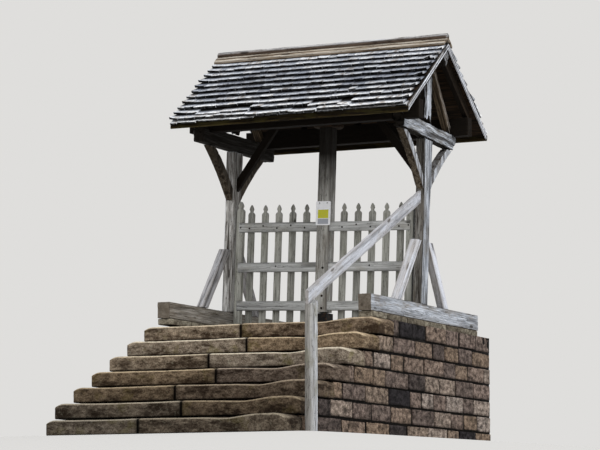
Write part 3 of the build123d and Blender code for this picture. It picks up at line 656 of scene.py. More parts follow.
# painted light: the posts on the left are drawn far paler, as the light on their fronts
timbers("frame_posts", ["posts"], "frame", "weathered_oak", POST_OAK, HEWN, edge=8, lighter=(3.9, -0.1))
timbers("frame_tie_beams", ["tie_beams"], "frame", "weathered_oak", FRAME_OAK, GNAWED, (17, 8, 8), 12,
        wear_left=HEWN)
# painted shade: the braces on the left are drawn darker, as the shade on that side under the roof
timbers("frame_braces", ["tie_braces"], "frame", "weathered_oak", BRACE_OAK, HEWN, lighter=(-1.1, 0.3))
timbers("frame_king_posts", ["king_posts"], "frame", "weathered_oak", FRAME_OAK, GNAWED, (17, 8, 8), 8,
        (0, 0.8))
timbers("frame_struts", ["raking_struts"], "frame", "pale_oak", PALE_OAK, HEWN, edge=6, lighter=(0.0, 0.6))
timbers("frame_principals", ["principal_rafters"], "frame", "weathered_oak", BROWN_OAK, HEWN, (26, 10, 10), 6)

# %% [markdown]
# The long timbers under the roof tie the frames together. They are painted dark as the shade there, so a
# coarse grid is enough for them. The boards at the roof's edges are thin, so their grid is finer and their
# wear is slight.

# %% The timbers and boards of the roof
timbers("roof_plates", ["wall_plates"], "frame", "weathered_oak", INNER_OAK, SAWN, (40, 14, 14))
timbers("roof_centre_beam", ["centre_beam", "beam_braces"], "frame", "weathered_oak", INNER_OAK, SAWN,
        (36, 12, 12))
timbers("roof_ridge_beam", ["ridge_beam"], "frame", "pale_oak", FRAME_OAK, HEWN, (40, 14, 14))
timbers("roof_rafters", ["common_rafters"], "frame", "weathered_oak", INNER_OAK, SAWN, (45, 14, 14), 4)
timbers("roof_verge_boards", ["verge_boards"], "frame", "pale_oak", VERGE_OAK, THIN, (22, 8, 8), 2.5)
timbers("roof_eaves_boards", ["eaves_boards"], "frame", "mossy_oak", MOSSY_OAK, THIN, (30, 9, 9), 3)
timbers("roof_ridge_boards", ["ridge_boards"], "frame", "ridge_oak", RIDGE_OAK, THIN, (30, 8, 8), 3)
timbers("roof_ridge_cap", ["ridge_cap"], "frame", "ridge_oak", CAP_OAK, THIN, (30, 8, 8), 14)

# %% [markdown]
# The gate is sawn oak, straighter and paler than the frames. The rails, the pales and the stiles could ride
# as one piece, but three let the pales be greener and less worn. The handrail is an old board on edge that
# lies on a peeled pole.

# %% The gate and the handrail
timbers("gate_post", ["gate_pivot_post"], "gate", "gate_oak", PIVOT_OAK, SAWN, (28, 8, 8), 7)
timbers("gate_rails", ["left_gate_rails", "right_gate_rails"], "gate", "gate_oak", GATE_OAK, SAWN,
        (24, 8, 9), 4)
timbers("gate_pales", ["left_gate_pales", "right_gate_pales"], "gate", "gate_oak", PALING_OAK, THIN,
        (20, 8, 9), 3)
timbers("gate_stiles", ["left_gate_stile", "right_gate_stile"], "gate", "gate_oak", PALING_OAK, SAWN,
        (24, 8, 9), 4, (0.5, 0.5))
timbers("stair_handrail", ["handrail"], "frame", "pale_oak", PALE_OAK,
        dict(HEWN, fissure=2, bite=8, ragged=30), (22, 8, 9), 5)
timbers("stair_newel", ["handrail_post"], "frame", "pale_oak", NEWEL_OAK, dict(SAWN, arris=3), (24, 9, 9), 3)

# %% [markdown]
# The covering is cleft oak shingles in eleven courses a side. One mesh with a repeating pattern would look
# tiled, and a particle system gives no courses. So each shingle is built and laid by itself. No two are the
# same width, each is thick at its butt, and the butts hang in a wavy line with dark gaps under them. A few
# have slipped near the eaves.

# %% Shingle sizes
COURSES = 11
EXPOSURE = 142 * MM                 # what shows of a course
HIDDEN = 70 * MM                    # what lies under the next one
WIDTHS = (85 * MM, 175 * MM)
NARROWEST = 30 * MM                 # a course stops when less than this is left
SPLIT_GAP = (1.5 * MM, 6 * MM)
THICK = (27 * MM, 34 * MM)          # at the butt, drawn stout so that its shadow shows from here
LIFT = (24 * MM, 31 * MM)           # of the butt, by the course under it
LIFT_NEAR_RIDGE = {COURSES - 2: 0.7, COURSES - 1: 0.35}
CUP = (-1, 5)                       # millimetres by which the sides of a butt curl up
HEAD_LEVEL = 4 * MM
BUTT_BACK = 10 * MM                 # of the lowest butts from the covering's edge
COURSE_WAVE, COURSE_STRAY = 0.35, 7 * MM    # length and height of the wave in a line of butts
BUTT_STRAY = 2.5                    # millimetres by which one butt strays from that line
COURSE_SHADE = (0.7, 0.5, 0.2, -0.1, -0.4, -0.7, -0.7, -0.5, -0.3, -0.1, 0.0)    # eaves to ridge
OWN_SHADE = 0.6
UNDER_COURSE = (0.55, 0.6)          # length and thickness of the course under the lowest, as shares
TILT = 0.012
print("shingles show", round(EXPOSURE / MM), "mm of", round((EXPOSURE + HIDDEN) / MM))

# %% Loosened shingles
VERGE_SHORT = (0.0, 22 * MM)        # by which a course ends before the edge of the roof
VERGE_REACH = 0.12                  # from the edge, where shingles curl
VERGE_CURL = (8 * MM, 30 * MM)
# Courses, from and to along the roof, how far they slid (least, most), and their turn.
FRONT_LOOSE = [((-1,), -1.5, -0.38, 25 * MM, 50 * MM, 0.02),
               ((0,), -0.35, 0.15, 15 * MM, 28 * MM, 0.03),
               ((0,), 0.15, 0.52, 38 * MM, 52 * MM, 0.03),
               ((1,), -1.1, -0.42, 55 * MM, 68 * MM, 0.01),
               ((1,), -0.42, -0.22, -30 * MM, -24 * MM, 0.02),
               ((1,), 0.42, 0.60, 40 * MM, 60 * MM, 0.12),
               ((1,), 0.60, 0.80, 25 * MM, 40 * MM, 0.04),
               ((1,), 0.80, 0.95, 75 * MM, 95 * MM, 0.10),
               ((2, 3), 0.35, 0.90, -15 * MM, 45 * MM, 0.13)]
BACK_LOOSE = [((1, 2), 0.3, 0.7, 0.0, 45 * MM, 0.10)]


# %% Where a slope of the roof lies
LOOKS_UP = 0.1    # a face whose normal rises by more than this is a top face


def roof_slope(boards, covering):
    """Directions along, up and out of one slope, its level and start, and how far it runs."""
    mesh = frame["nodes"][boards].data
    top = max((p for p in mesh.polygons if p.normal.z > LOOKS_UP), key=lambda p: p.area)
    out = np.array(top.normal)
    along = np.array([1.0, 0.0, 0.0])
    up = np.cross(out, along)
    up = up if up[2] > 0 else -up
    low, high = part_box(covering)
    level = np.array(mesh.vertices[top.vertices[0]].co) @ out
    points = np.array([v.co[:] for v in frame["nodes"][covering].data.vertices])
    start = (points @ up).min()
    return along, up, out, level, start, low.x, high.x


# %% One shingle
GRID = (4, 6)          # points across and up a shingle
CROWDED = 1.3          # the rows of points lie closer together at the butt
SKEW = 0.012
RAGGED = 3 * MM        # unevenness of a butt
TORN = 0.8             # millimetres of unevenness on a cleft face
TAPER = 0.72           # share of its thickness that a shingle loses towards its head


def shingle(rng, width, length, thick, lift, cup):
    """Points of one shingle in its own directions: across, up the slope, out of it."""
    nx, ny = GRID
    a = np.linspace(-width / 2, width / 2, nx)
    t = np.linspace(0, 1, ny) ** CROWDED
    skew = rng.uniform(-SKEW, SKEW)
    ragged = rng.uniform(-RAGGED, RAGGED, nx)
    top, bottom = [], []
    for fraction in t:
        for i, x in enumerate(a):
            bow = cup * (2 * x / width) ** 2 * (1 - fraction)
            rise = lift * (1 - fraction) + HEAD_LEVEL
            wave = rng.uniform(-TORN, TORN) * MM
            y = fraction * length + (ragged[i] + skew * x) * (1 - fraction)
            now = thick * (1 - TAPER * fraction)
            top.append((x, y, rise + now + bow + wave))
            bottom.append((x, y + 1 * MM, rise + bow * 0.6))
    return np.array(top + bottom)


def shingle_faces():
    """Faces of a shingle: top, underside, butt, head and two sides."""
    nx, ny = GRID
    under = nx * ny
    faces = []
    for j in range(ny - 1):
        for i in range(nx - 1):
            a = j * nx + i
            faces.append((a, a + 1, a + nx + 1, a + nx))
            faces.append((under + a, under + a + nx, under + a + nx + 1, under + a + 1))
    for i in range(nx - 1):
        faces.append((i, under + i, under + i + 1, i + 1))
        a = (ny - 1) * nx + i
        faces.append((a, a + 1, under + a + 1, under + a))
    for j in range(ny - 1):
        a = j * nx
        faces.append((a, a + nx, under + a + nx, under + a))
        b = a + nx - 1
        faces.append((b, under + b, under + b + nx, b + nx))
    return np.array(faces)


# %% [markdown]
# Oak shingles are cleft along the grain, so a shingle shows its fibres as fine ridges up the slope. Sun
# bleaches it to silver. The butt and the underside are painted nearly black as the shade under them, and
# the strip under the next course is darkened for algae and as the painted shadow of that course. A wood
# texture for the whole roof would run through the courses, so each shingle keeps its own place in the
# grain and its own tone. The fibres are drawn 9 mm apart, about ten times too coarse, to show from here.

# %% Oak shingles, cleft
CLEFT_FIBRE, CLEFT_RUN = 9 * PORES_APART, 0.12
PATCH, PATCH_RUN = 90 * MM, 0.20


def cleft_oak(name):
    """Cleft oak shingles, silver on top, with the butts and undersides painted nearly black as shade."""
    material, tree, shader = surface(name, 0.82)
    fibres, patches = streaks(tree, CLEFT_RUN, CLEFT_FIBRE, 4), streaks(tree, PATCH_RUN, PATCH, 3)
    given = {key: add(tree, "Attribute", out="Fac", attribute_name=key)
             for key in ("tone", "under", "upslope")}
    colour = add(tree, "ValToRGB", {0: fibres},
                 stops=[(0.34, "#8d9096"), (0.46, "#d5d9df"), (0.60, "#ffffff")])
    weather = add(tree, "ValToRGB", {0: patches}, stops=[(0.34, "#9d8a74"), (0.50, "#ffffff")])
    colour = add(tree, "Mix", {FACTOR: 0.7, UNDER: colour, OVER: weather}, MIXED, **TINT)
    scale = add(tree, "MapRange", {0: given["tone"], 1: -1.0, 2: 1.0, 3: 0.0, 4: 1.0})
    own = add(tree, "ValToRGB", {0: scale}, stops=[(0.0, "#999da6"), (0.35, "#cfd2d7"), (0.8, "#ffffff")])
    colour = add(tree, "Mix", {FACTOR: 1.0, UNDER: colour, OVER: own}, MIXED, **TINT)
    # algae and painted shadow: the strip just below the next course's butt darkens
    height = add(tree, "Math", {0: patches, 1: 0.25, 2: given["upslope"]}, operation="MULTIPLY_ADD")
    algae_and_shadow = add(tree, "ValToRGB", {0: height},
                stops=[(0.36, "#ffffff"), (0.56, "#a3a6ad"), (0.78, "#1a1817")])
    colour = add(tree, "Mix", {FACTOR: 1.0, UNDER: colour, OVER: algae_and_shadow}, MIXED, **TINT)
    facing = add(tree, "SeparateXYZ", {0: add(tree, "NewGeometry", out="Normal")}, out="X")
    edge_on = add(tree, "Math", {0: facing}, operation="ABSOLUTE")
    # painted shade: the underside and the lower part of the butt go nearly black, but not faces turned
    # sideways
    darkening = add(tree, "MapRange", {0: given["under"], 1: 0.02, 2: 0.14, 3: 0.0, 4: 1.0})
    darkening = add(tree, "Math", {0: darkening, 1: edge_on}, operation="SUBTRACT", use_clamp=True)
    colour = add(tree, "Mix", {FACTOR: darkening, UNDER: colour, OVER: "#080605"}, MIXED, **COVER)
    tree.links.new(colour, shader.inputs["Base Color"])
    bump = add(tree, "Bump", {"Height": fibres, "Distance": BUMP, "Strength": 0.8})
    tree.links.new(bump, shader.inputs["Normal"])
    return material


# Cleft, never planed: dull silver ridges that catch the light, over butts painted black as their shade.
SHINGLE_OAK = cleft_oak("cleft_oak_shingles")


# %% Laying one slope of shingles
def slipped(rng, course, middle, loosened):
    """How far a shingle has slid down and how much it has turned."""
    slid, turn = 0.0, 0.0
    for courses, a, b, least, most, turned in loosened:
        if course in courses and a <= middle <= b:
            slid += rng.uniform(least, most)
            turn = rng.uniform(-turned, turned)
    return slid, turn


def shingled_slope(name, boards, covering, seed, loosened):
    """One slope of shingles as one piece, some of them loosened."""
    along, up, out, level, start, left, right = roof_slope(boards, covering)
    rng = np.random.default_rng(seed)
    faces = shingle_faces()
    pile = Pile()
    count = GRID[0] * GRID[1]
    for course in range(-1, COURSES):
        x = left + rng.uniform(*VERGE_SHORT)
        stop = right - rng.uniform(*VERGE_SHORT)
        shorter, thinner = UNDER_COURSE if course < 0 else (1.0, 1.0)
        while x < stop - NARROWEST:
            width = min(rng.uniform(*WIDTHS), stop - x)
            middle = x + width / 2
            wave = speckle(np.array([[middle / COURSE_WAVE, course, 0.5]]), seed + 5 * course)[0]
            v = start + max(course, 0) * EXPOSURE + wave * COURSE_STRAY
            v += rng.uniform(-BUTT_STRAY, BUTT_STRAY) * MM + BUTT_BACK
            slid, turn = slipped(rng, course, middle, loosened)
            v -= slid
            points = shingle(rng, width - rng.uniform(*SPLIT_GAP), (EXPOSURE + HIDDEN) * shorter,
                             rng.uniform(*THICK) * thinner,
                             (0.0 if course < 0 else rng.uniform(*LIFT)) * LIFT_NEAR_RIDGE.get(course, 1.0),
                             rng.uniform(*CUP) * MM)
            points[:, 1] += turn * points[:, 0]
            points[:, 0] -= turn * points[:, 1]
            side = np.clip(points[:, 0] / width * (1 if middle > 0 else -1) + 0.5, 0, 1)
            if course >= 0 and (middle < left + VERGE_REACH or middle > stop - VERGE_REACH):
                points[:, 2] += rng.uniform(*VERGE_CURL) * side * np.clip(1 - points[:, 1] / EXPOSURE, 0, 1)
            tilt = rng.uniform(-TILT, TILT)
            world = (np.outer(points[:, 0] + middle, along) + np.outer(points[:, 1] + v, up)
                     + np.outer(points[:, 2] + level + tilt * points[:, 0], out))
            shade = rng.uniform(-OWN_SHADE, OWN_SHADE) + COURSE_SHADE[max(course, 0)]
            pile.add(world, faces.ravel(), np.full(len(faces), 4),
                     grain=np.stack([points[:, 1], points[:, 0], points[:, 2]], 1) + rng.uniform(0, 50, 3),
                     under=np.repeat([0.0, 1.0], count), tone=np.full(2 * count, shade),
                     upslope=points[:, 1] / (EXPOSURE + HIDDEN))
            x += width
    piece = pile.piece(name, SHINGLE_OAK, "frame", [covering], "oak_shingles")
    piece.data.polygons.foreach_set("use_smooth", np.zeros(len(piece.data.polygons), bool))
    return piece


# %% Both slopes
shingled_slope("front_shingle_courses", "front_roof_boards", "front_shingles", 41, FRONT_LOOSE)
shingled_slope("back_shingle_courses", "back_roof_boards", "back_shingles", 57, BACK_LOOSE)

# %% [markdown]
# The steps are long sandstone blocks, two to a step. Feet have hollowed them along the walking line, so each
# nosing sags in the middle and shows a pale rubbed lip over a dark riser. The hollows could be cut in CAD
# too, but worn stone has no clean edge anywhere. So the blocks are cut fine like the timbers, and their
# points are moved by what feet, the hand on the rail and frost have taken.

# %% Worn treads
TREAD_WEAR = 26 * MM                  # taken by feet, on the left up to WORN_TO
WORN_TO, WORN_EDGE = 0.85, 0.40
RAIL_WEAR = 12 * MM                   # and by those who hold the rail
RAIL_LINE, RAIL_SPREAD = 0.79, 0.17
STONE_SAG = 9 * MM                    # each block is hollow between its ends
SAG_TO, SAG_EDGE = 1.3, 0.5
UNEVEN, UNEVEN_LENGTH = 4 * MM, 0.30
BACK_SHARE = 0.3                      # the back of a tread wears by this share of its front
JOINT_ROUND = (35 * MM, 9 * MM)       # length and drop at a block's end, at a joint
CORNER_ROUND = (120 * MM, 42 * MM)    # and at the outer corners
OUTER_END = 1.2                       # a block's end beyond this is an outer corner
print("treads worn by up to", round((TREAD_WEAR + RAIL_WEAR + STONE_SAG) / MM), "mm")


def block_ends(points):
    """How far the points are from each end of their block, and whether that end is at a joint."""
    low, high = points[:, 0].min(), points[:, 0].max()
    return (points[:, 0] - low, low > -OUTER_END), (high - points[:, 0], high < OUTER_END)


def trodden(points, seed):
    """How far feet and frost have taken down a tread, at each of its points."""
    low, high = points.min(0), points.max(0)
    x = points[:, 0]
    line = np.stack([x / UNEVEN_LENGTH, np.full(len(x), seed * 0.7), np.zeros(len(x))], 1)
    share = (x - low[0]) / (high[0] - low[0])
    hollow = TREAD_WEAR * smooth(1 - (x - WORN_TO) / WORN_EDGE)
    hollow = hollow + RAIL_WEAR * np.exp(-((x - RAIL_LINE) / RAIL_SPREAD) ** 2)
    hollow = hollow + STONE_SAG * 4 * share * (1 - share) * smooth((SAG_TO - x) / SAG_EDGE)
    hollow = hollow + UNEVEN * rough(line, seed + 9, 2)
    front = 1 - (points[:, 1] - low[1]) / (high[1] - low[1])
    down = np.clip(hollow, 0, None) * (BACK_SHARE + (1 - BACK_SHARE) * front)
    for to_end, inner in block_ends(points):
        reach, drop = JOINT_ROUND if inner else CORNER_ROUND
        down = down + drop * np.clip(1 - to_end / reach, 0, 1) ** 2
    return down


# %% Worn stone and what its finish reads
SWELL, PITS = 0.14, 35 * MM           # sizes of the uneven faces and of the pits in them
SWELL_SHARE = 0.6                     # of the relief; the pits take the rest
NOSING_FROM, NOSING_RANGE = 0.86, 0.06    # shares of a step's height where feet rub its lip
SEAM_RISE = 0.12                      # share of the height at the foot that is darkened, as dirt and painted shade
JOINT_DIRT = 16 * MM                  # and how far it reaches from a joint


def worn_stone(points, normals, seed, relief, walked, tone=None):
    """Points of a stone after weather and, where it is walked on, feet."""
    swell = rough(points / SWELL + seed * 0.37, seed)
    pits = rough(points / PITS + seed * 0.11, seed + 5, 2)
    depth = relief * (SWELL_SHARE * (swell + 1) / 2 + (1 - SWELL_SHARE) * np.clip(pits, 0, 1))
    moved = points - normals * depth[:, None]
    low, high = points.min(0), points.max(0)
    rise = (points[:, 2] - low[2]) / (high[2] - low[2])
    rub, seam = np.zeros(len(points)), np.zeros(len(points))
    if walked:
        for to_end, inner in block_ends(points):
            seam = np.maximum(seam, inner * np.exp(-to_end / JOINT_DIRT))
        moved[:, 2] -= trodden(points, seed) * rise ** 2
        front = np.clip(1 - (points[:, 1] - low[1]) / (high[1] - low[1]), 0, 1)
        nosing = np.clip((rise - NOSING_FROM) / NOSING_RANGE, 0, 1)
        rub = nosing * np.clip(front ** 3 + np.clip(-normals[:, 1], 0, 1), 0, 1)
    if tone is None:
        tone = speckle(np.full((1, 3), seed * 0.531), seed)[0]
    return moved, {
        "place": points + np.array([seed % 31, seed % 17, seed % 23]) * 0.9,
        "pit": np.clip(pits, 0, 1),
        "rubbed": rub,
        "height": points[:, 2],
        "seam": np.maximum(np.clip(1 - rise / SEAM_RISE, 0, 1), np.clip(seam * 1.4, 0, 1)),
        "tone": np.full(len(points), tone),
    }


# %% [markdown]
# This is a brown sandstone, dressed with a point and laid over a century ago. Its sand grains are about
# half a millimetre wide, which can't show from here, so the grit is drawn in grains of 16 mm. A photographed
# stone would carry its own light and repeat on every block. Layers of noise are used instead, each with a
# cause: beds in the rock, grit, moss, soot where rain doesn't run, lichen, and lips that feet rub pale.

# %% Sizes in the stone
SAND_GRAIN, COARSER_GRIT = 0.5 * MM, 32    # real grains, and how much coarser they are drawn to show
SAND = COARSER_GRIT * SAND_GRAIN
BED, BED_FLAT = 0.09, 1.6             # beds in the rock, and how much wider than high they are
SOOT_FLAT = 2.4
LICHEN_SPOT = 40 * MM
MOSS_SPREAD = 0.30
SPOT_DEPTH, SAND_DEPTH = 8 * MM, 4 * MM
GRIT_SHADE, MOSS, LICHEN, RUBBED = "#5f5a55", "#6d6636", "#a7a493", "#cdc2ae"
# dirt in joints, and dirt and painted shade at the foot of each stone
SEAM_DIRT_AND_SHADE = "#15110d"
print("grit of", round(SAND / MM), "mm, lichen spots of", round(LICHEN_SPOT / MM), "mm")


def cloud(tree, size, detail, roughness=0.6, stretch=1.0):
    """Noise with patches about one size across, and stretch times wider than high."""
    place = add(tree, "Attribute", out="Vector", attribute_name="place")
    scaled = add(tree, "Mapping", {"Vector": place, "Scale": (1 / size, 1 / size, stretch / size)})
    return add(tree, "TexNoise", {"Vector": scaled, "Scale": 1.0, "Detail": detail, "Roughness": roughness})


# %% Sandstone, dressed with a point and weathered
SANDSTONE_IOR = 1.5    # quartz has 1.54, and what binds its grains a little less


def sandstone(name, pale, middle, dark, soot, sootiness, tones, lichen=0.35, moss=0.0, darkening=None,
              stain=0.26):
    """Sandstone, split and dressed, with soot and lichen.

    tones colours each block by its own tone, damp lists how dark the stone is at heights in metres, and
    stain is the size of the sooty patches.
    """
    material, tree, shader = surface(name, 0.92, ior=SANDSTONE_IOR)
    given = {key: add(tree, "Attribute", out="Fac", attribute_name=key)
             for key in ("rubbed", "pit", "tone", "height", "seam")}
    beds, sand = cloud(tree, BED, 6, 0.68, BED_FLAT), cloud(tree, SAND, 3)
    grime, spots = cloud(tree, stain, 7, 0.74, SOOT_FLAT), cloud(tree, LICHEN_SPOT, 4)
    growth = cloud(tree, MOSS_SPREAD, 4)
    colour = add(tree, "ValToRGB", {0: beds}, stops=[(0.36, dark), (0.48, middle), (0.60, pale)])
    grit = add(tree, "ValToRGB", {0: sand}, stops=[(0.34, GRIT_SHADE), (0.56, "#ffffff")])
    colour = add(tree, "Mix", {FACTOR: 0.7, UNDER: colour, OVER: grit}, MIXED, **TINT)
    green = add(tree, "MapRange", {0: growth, 1: 0.56, 2: 0.64, 3: 0.0, 4: moss})
    colour = add(tree, "Mix", {FACTOR: green, UNDER: colour, OVER: MOSS}, MIXED, **COVER)
    smoke = add(tree, "MapRange", {0: grime, 1: 0.49, 2: 0.59, 3: 0.0, 4: sootiness})
    colour = add(tree, "Mix", {FACTOR: smoke, UNDER: colour, OVER: soot}, MIXED, **COVER)
    fleck = add(tree, "MapRange", {0: spots, 1: 0.60, 2: 0.65, 3: 0.0, 4: lichen})
    colour = add(tree, "Mix", {FACTOR: fleck, UNDER: colour, OVER: LICHEN}, MIXED, **COVER)
    fray = add(tree, "MapRange", {0: sand, 1: 0.36, 2: 0.50, 3: 0.35, 4: 1.0})
    lip = add(tree, "Math", {0: given["rubbed"], 1: fray}, operation="MULTIPLY")
    colour = add(tree, "Mix", {FACTOR: lip, UNDER: colour, OVER: RUBBED}, MIXED, **COVER)
    pitted = add(tree, "Math", {0: given["pit"], 1: 0.5}, operation="MULTIPLY")
    colour = add(tree, "Mix", {FACTOR: pitted, UNDER: colour, OVER: soot}, MIXED, **COVER)
    # dark joints, and dirt and painted shade at the foot of each stone
    colour = add(tree, "Mix", {FACTOR: given["seam"], UNDER: colour, OVER: SEAM_DIRT_AND_SHADE}, MIXED, **COVER)
    scale = add(tree, "MapRange", {0: given["tone"], 1: -0.8, 2: 0.8, 3: 0.0, 4: 1.0})
    own = add(tree, "ValToRGB", {0: scale}, stops=tones)
    colour = add(tree, "Mix", {FACTOR: 1.0, UNDER: colour, OVER: own}, MIXED, **TINT)
    if darkening:
        (low, dark_at_low), (high, dark_at_high) = darkening
        level = add(tree, "MapRange", {0: given["height"], 1: low, 2: high, 3: dark_at_low, 4: dark_at_high})
        level = add(tree, "CombineColor", {0: level, 1: level, 2: level})
        colour = add(tree, "Mix", {FACTOR: 1.0, UNDER: colour, OVER: level}, MIXED, **TINT)
    tree.links.new(colour, shader.inputs["Base Color"])
    coarse = add(tree, "Bump", {"Height": spots, "Distance": SPOT_DEPTH, "Strength": 0.7})
    fine = add(tree, "Bump", {"Height": sand, "Distance": SAND_DEPTH, "Strength": 0.8, "Normal": coarse})
    tree.links.new(fine, shader.inputs["Normal"])
    return material


# %% The stones and the mortar
EVEN_TONES = [(0.0, "#cfcbc8"), (0.6, "#ffffff")]
STEP_TONES = [(0.0, "#c6c0c4"), (0.4, "#e8dccb"), (0.8, "#ffffff")]
BLOCK_TONES = [(0.0, "#4d4d54"), (0.16, "#8f8886"), (0.40, "#c6bab4"), (0.62, "#c9b9a6"), (0.9, "#f0ebe6")]
# Trodden steps: warm brown with pale lips, and darker towards the bottom of the flight.
STEP_STONE = sandstone("trodden_sandstone_steps", "#ac9f8e", "#8b7e6f", "#62574b", "#2b1f15", 0.86,
                       STEP_TONES, 0.30, 0.4, ((0.25, 0.46), (1.15, 1.10)), 0.55)
# Dressed blocks of the walls: greyer, each with a tone of its own, some of them black.
WALL_STONE = sandstone("dressed_sandstone_walls", "#c6bcb5", "#968c86", "#4f4845", "#2c2a29", 0.5,
                       BLOCK_TONES)
# Sawn flags: flat and even, with a duller grey.
FLAG_STONE = sandstone("sawn_sandstone_flags", "#a19a8a", "#827b6c", "#5a5146", "#3f3832", 0.5, EVEN_TONES)
# Trowelled lime mortar that soot has blackened: it reads as a dark line.
MORTAR = sandstone("trowelled_lime_mortar", "#26231f", "#191715", "#0f0e0d", "#0a0909", 0.8, EVEN_TONES, 0.02)

# %% [markdown]
# Steps, flags and packing stones differ in size and wear, so each kind is a piece of its own, with the grid
# that its wear needs: fine on the nosings, coarse on the flat flags.

# %% Steps, flags and packing
STEPS = [f"step_{k}" for k in range(1, 8)]
WORLD_AXES = np.eye(3)


def stones(name, nodes, slot, material, steps, edge, relief, walked=False):
    """One piece from the stones of some nodes. Sizes are in millimetres."""
    pile = Pile()
    for node in nodes:
        for number, solid in enumerate(solids_of(node)):
            round_edges(solid, edge * MM)
            cut_fine(solid, WORLD_AXES, [s * MM for s in steps])
            points, normals, corners, counts = arrays_of(solid)
            points, values = worn_stone(points, normals, seed_of(node, number), relief * MM, walked)
            pile.add(points, corners, counts, **values)
    return pile.piece(name, material, "frame", nodes, slot)


stones("stone_steps", STEPS, "sandstone", STEP_STONE, (24, 24, 17), 15, 7, True)
stones("stone_flags", ["landing_flags"], "sandstone", FLAG_STONE, (45, 45, 45), 6, 4)
stones("stone_packing", ["packing_stones"], "dark_sandstone", FLAG_STONE, (26, 26, 22), 12, 9)

# %% [markdown]
# The platform's walls are squared blocks in courses that line up with the steps. A brick texture would give
# flat walls with even joints. Here each block is cut out of the wall's own solid, a little smaller than its
# place, so that joints of uneven width open round it. The wall itself, drawn in by 28 mm, stays behind as
# mortar.

# %% Sizes of the walls
COURSE = 205 * MM
BED_JOINT = (1 * MM, 11 * MM)        # from a block to the middle of the joint above or below
UPRIGHT_JOINT = (7 * MM, 20 * MM)    # and to that of the joint beside it
MORTAR_BACK = 28 * MM
BLOCK_LENGTHS = (0.34, 0.72)
FIRST_CUT = 0.3                      # a course starts with a block that lost up to this
SHORTEST = 0.2                       # a shorter rest joins the last block
BLOCK_ROUND = (8 * MM, 22 * MM)
SET_BACK = 14 * MM
BLOCK_GRID, MORTAR_GRID = 35 * MM, 0.3
BLOCK_RELIEF = 15 * MM
SOOTY_BLOCK = -0.8                   # the tone of a blackened one
print("courses of", round(COURSE / MM), "mm")


# %% Cutting one block out of a wall
def cut_out(solid, low, high):
    """The part of a solid inside a box, closed again, or None where nothing is left."""
    part = solid.copy()
    for axis in range(3):
        for side, limit in ((-1, low[axis]), (1, high[axis])):
            normal = Vector([side if k == axis else 0 for k in range(3)])
            at = Vector([limit if k == axis else 0 for k in range(3)])
            everything = part.verts[:] + part.edges[:] + part.faces[:]
            found = bmesh.ops.bisect_plane(part, geom=everything, dist=WELD, plane_co=at,
                                           plane_no=normal, clear_outer=True)
            rim = [e for e in found["geom_cut"] if isinstance(e, bmesh.types.BMEdge)]
            if rim:
                bmesh.ops.holes_fill(part, edges=rim)
    if len(part.faces) < 4:
        part.free()
        return None
    bmesh.ops.dissolve_limit(part, angle_limit=FLAT, verts=part.verts, edges=part.edges)
    return part


# %% A coursed wall
def coursed_wall(name, node, run, seed, sooty=None):
    """A wall of blocks; run is the axis, 0 or 1, along which its courses lie.

    sooty names the course and the stretch of the right-hand wall that soot has blackened.
    """
    rng = np.random.default_rng(seed)
    pile = Pile()
    number = 0
    for solid in solids_of(node):
        reach = np.array([v.co[:] for v in solid.verts])
        low, high = reach.min(0), reach.max(0)
        for course in range(int(round((high[2] - low[2]) / COURSE))):
            start = low[run] - rng.uniform(0, FIRST_CUT)
            while start < high[run]:
                end = start + rng.uniform(*BLOCK_LENGTHS)
                if high[run] - end < SHORTEST:
                    end = high[run] + 1
                a, b = low - 1, high + 1
                a[run], b[run] = start + rng.uniform(*UPRIGHT_JOINT), end - rng.uniform(*UPRIGHT_JOINT)
                a[2] = low[2] + course * COURSE + rng.uniform(*BED_JOINT)
                b[2] = low[2] + (course + 1) * COURSE - rng.uniform(*BED_JOINT)
                back = rng.uniform(0, SET_BACK)
                a[1 - run], b[1 - run] = low[1 - run] + back, high[1 - run] - back
                blackened = (sooty and low[0] > 0 and course == sooty[0]
                             and sooty[1] < (start + end) / 2 < sooty[2])
                block = cut_out(solid, a, b)
                start = end
                if block is None:
                    continue
                number += 1
                round_edges(block, rng.uniform(*BLOCK_ROUND))
                cut_fine(block, WORLD_AXES, [BLOCK_GRID] * 3)
                points, normals, corners, counts = arrays_of(block)
                points, values = worn_stone(points, normals, seed + number, BLOCK_RELIEF, False,
                                            SOOTY_BLOCK if blackened else None)
                pile.add(points, corners, counts, **values)
    print(f"{name}: {number} blocks")
    return pile.piece(name, WALL_STONE, "frame", [], "dark_sandstone")


# %% The mortar and both walls
def mortar(name, node):
    """The wall's own solid drawn in, which shows only in the joints."""
    pile = Pile()
    for solid in solids_of(node):
        cut_fine(solid, WORLD_AXES, [MORTAR_GRID] * 3)
        points, normals, corners, counts = arrays_of(solid)
        points, values = worn_stone(points - normals * MORTAR_BACK, normals, seed_of(node), 0.0, False)
        pile.add(points, corners, counts, **values)
    return pile.piece(name, MORTAR, "frame", [node], "dark_sandstone")


coursed_wall("flank_wall_blocks", "flank_walls", 1, 11, (6, -1.4, -0.2))
coursed_wall("back_wall_blocks", "back_wall", 0, 23)
mortar("flank_wall_mortar", "flank_walls")
mortar("back_wall_mortar", "back_wall")

# %% [markdown]
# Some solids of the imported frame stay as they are, because hardly anything of them shows: the masonry core,
# the roof boarding, and the collar and block that the gate turns in. They could be made again and worn like
# the rest. A finish in their own slots is enough, and it reads their place in metres.


# %% Painting a kept solid
def repaint(node, material):
    """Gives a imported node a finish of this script."""
    thing = frame["nodes"][node]
    for k in range(len(thing.data.materials)):
        thing.data.materials[k] = material


# %% Oak boarding, sawn and left rough
BOARD_RUN = 0.5
BOARD_BUMP = 2 * MM


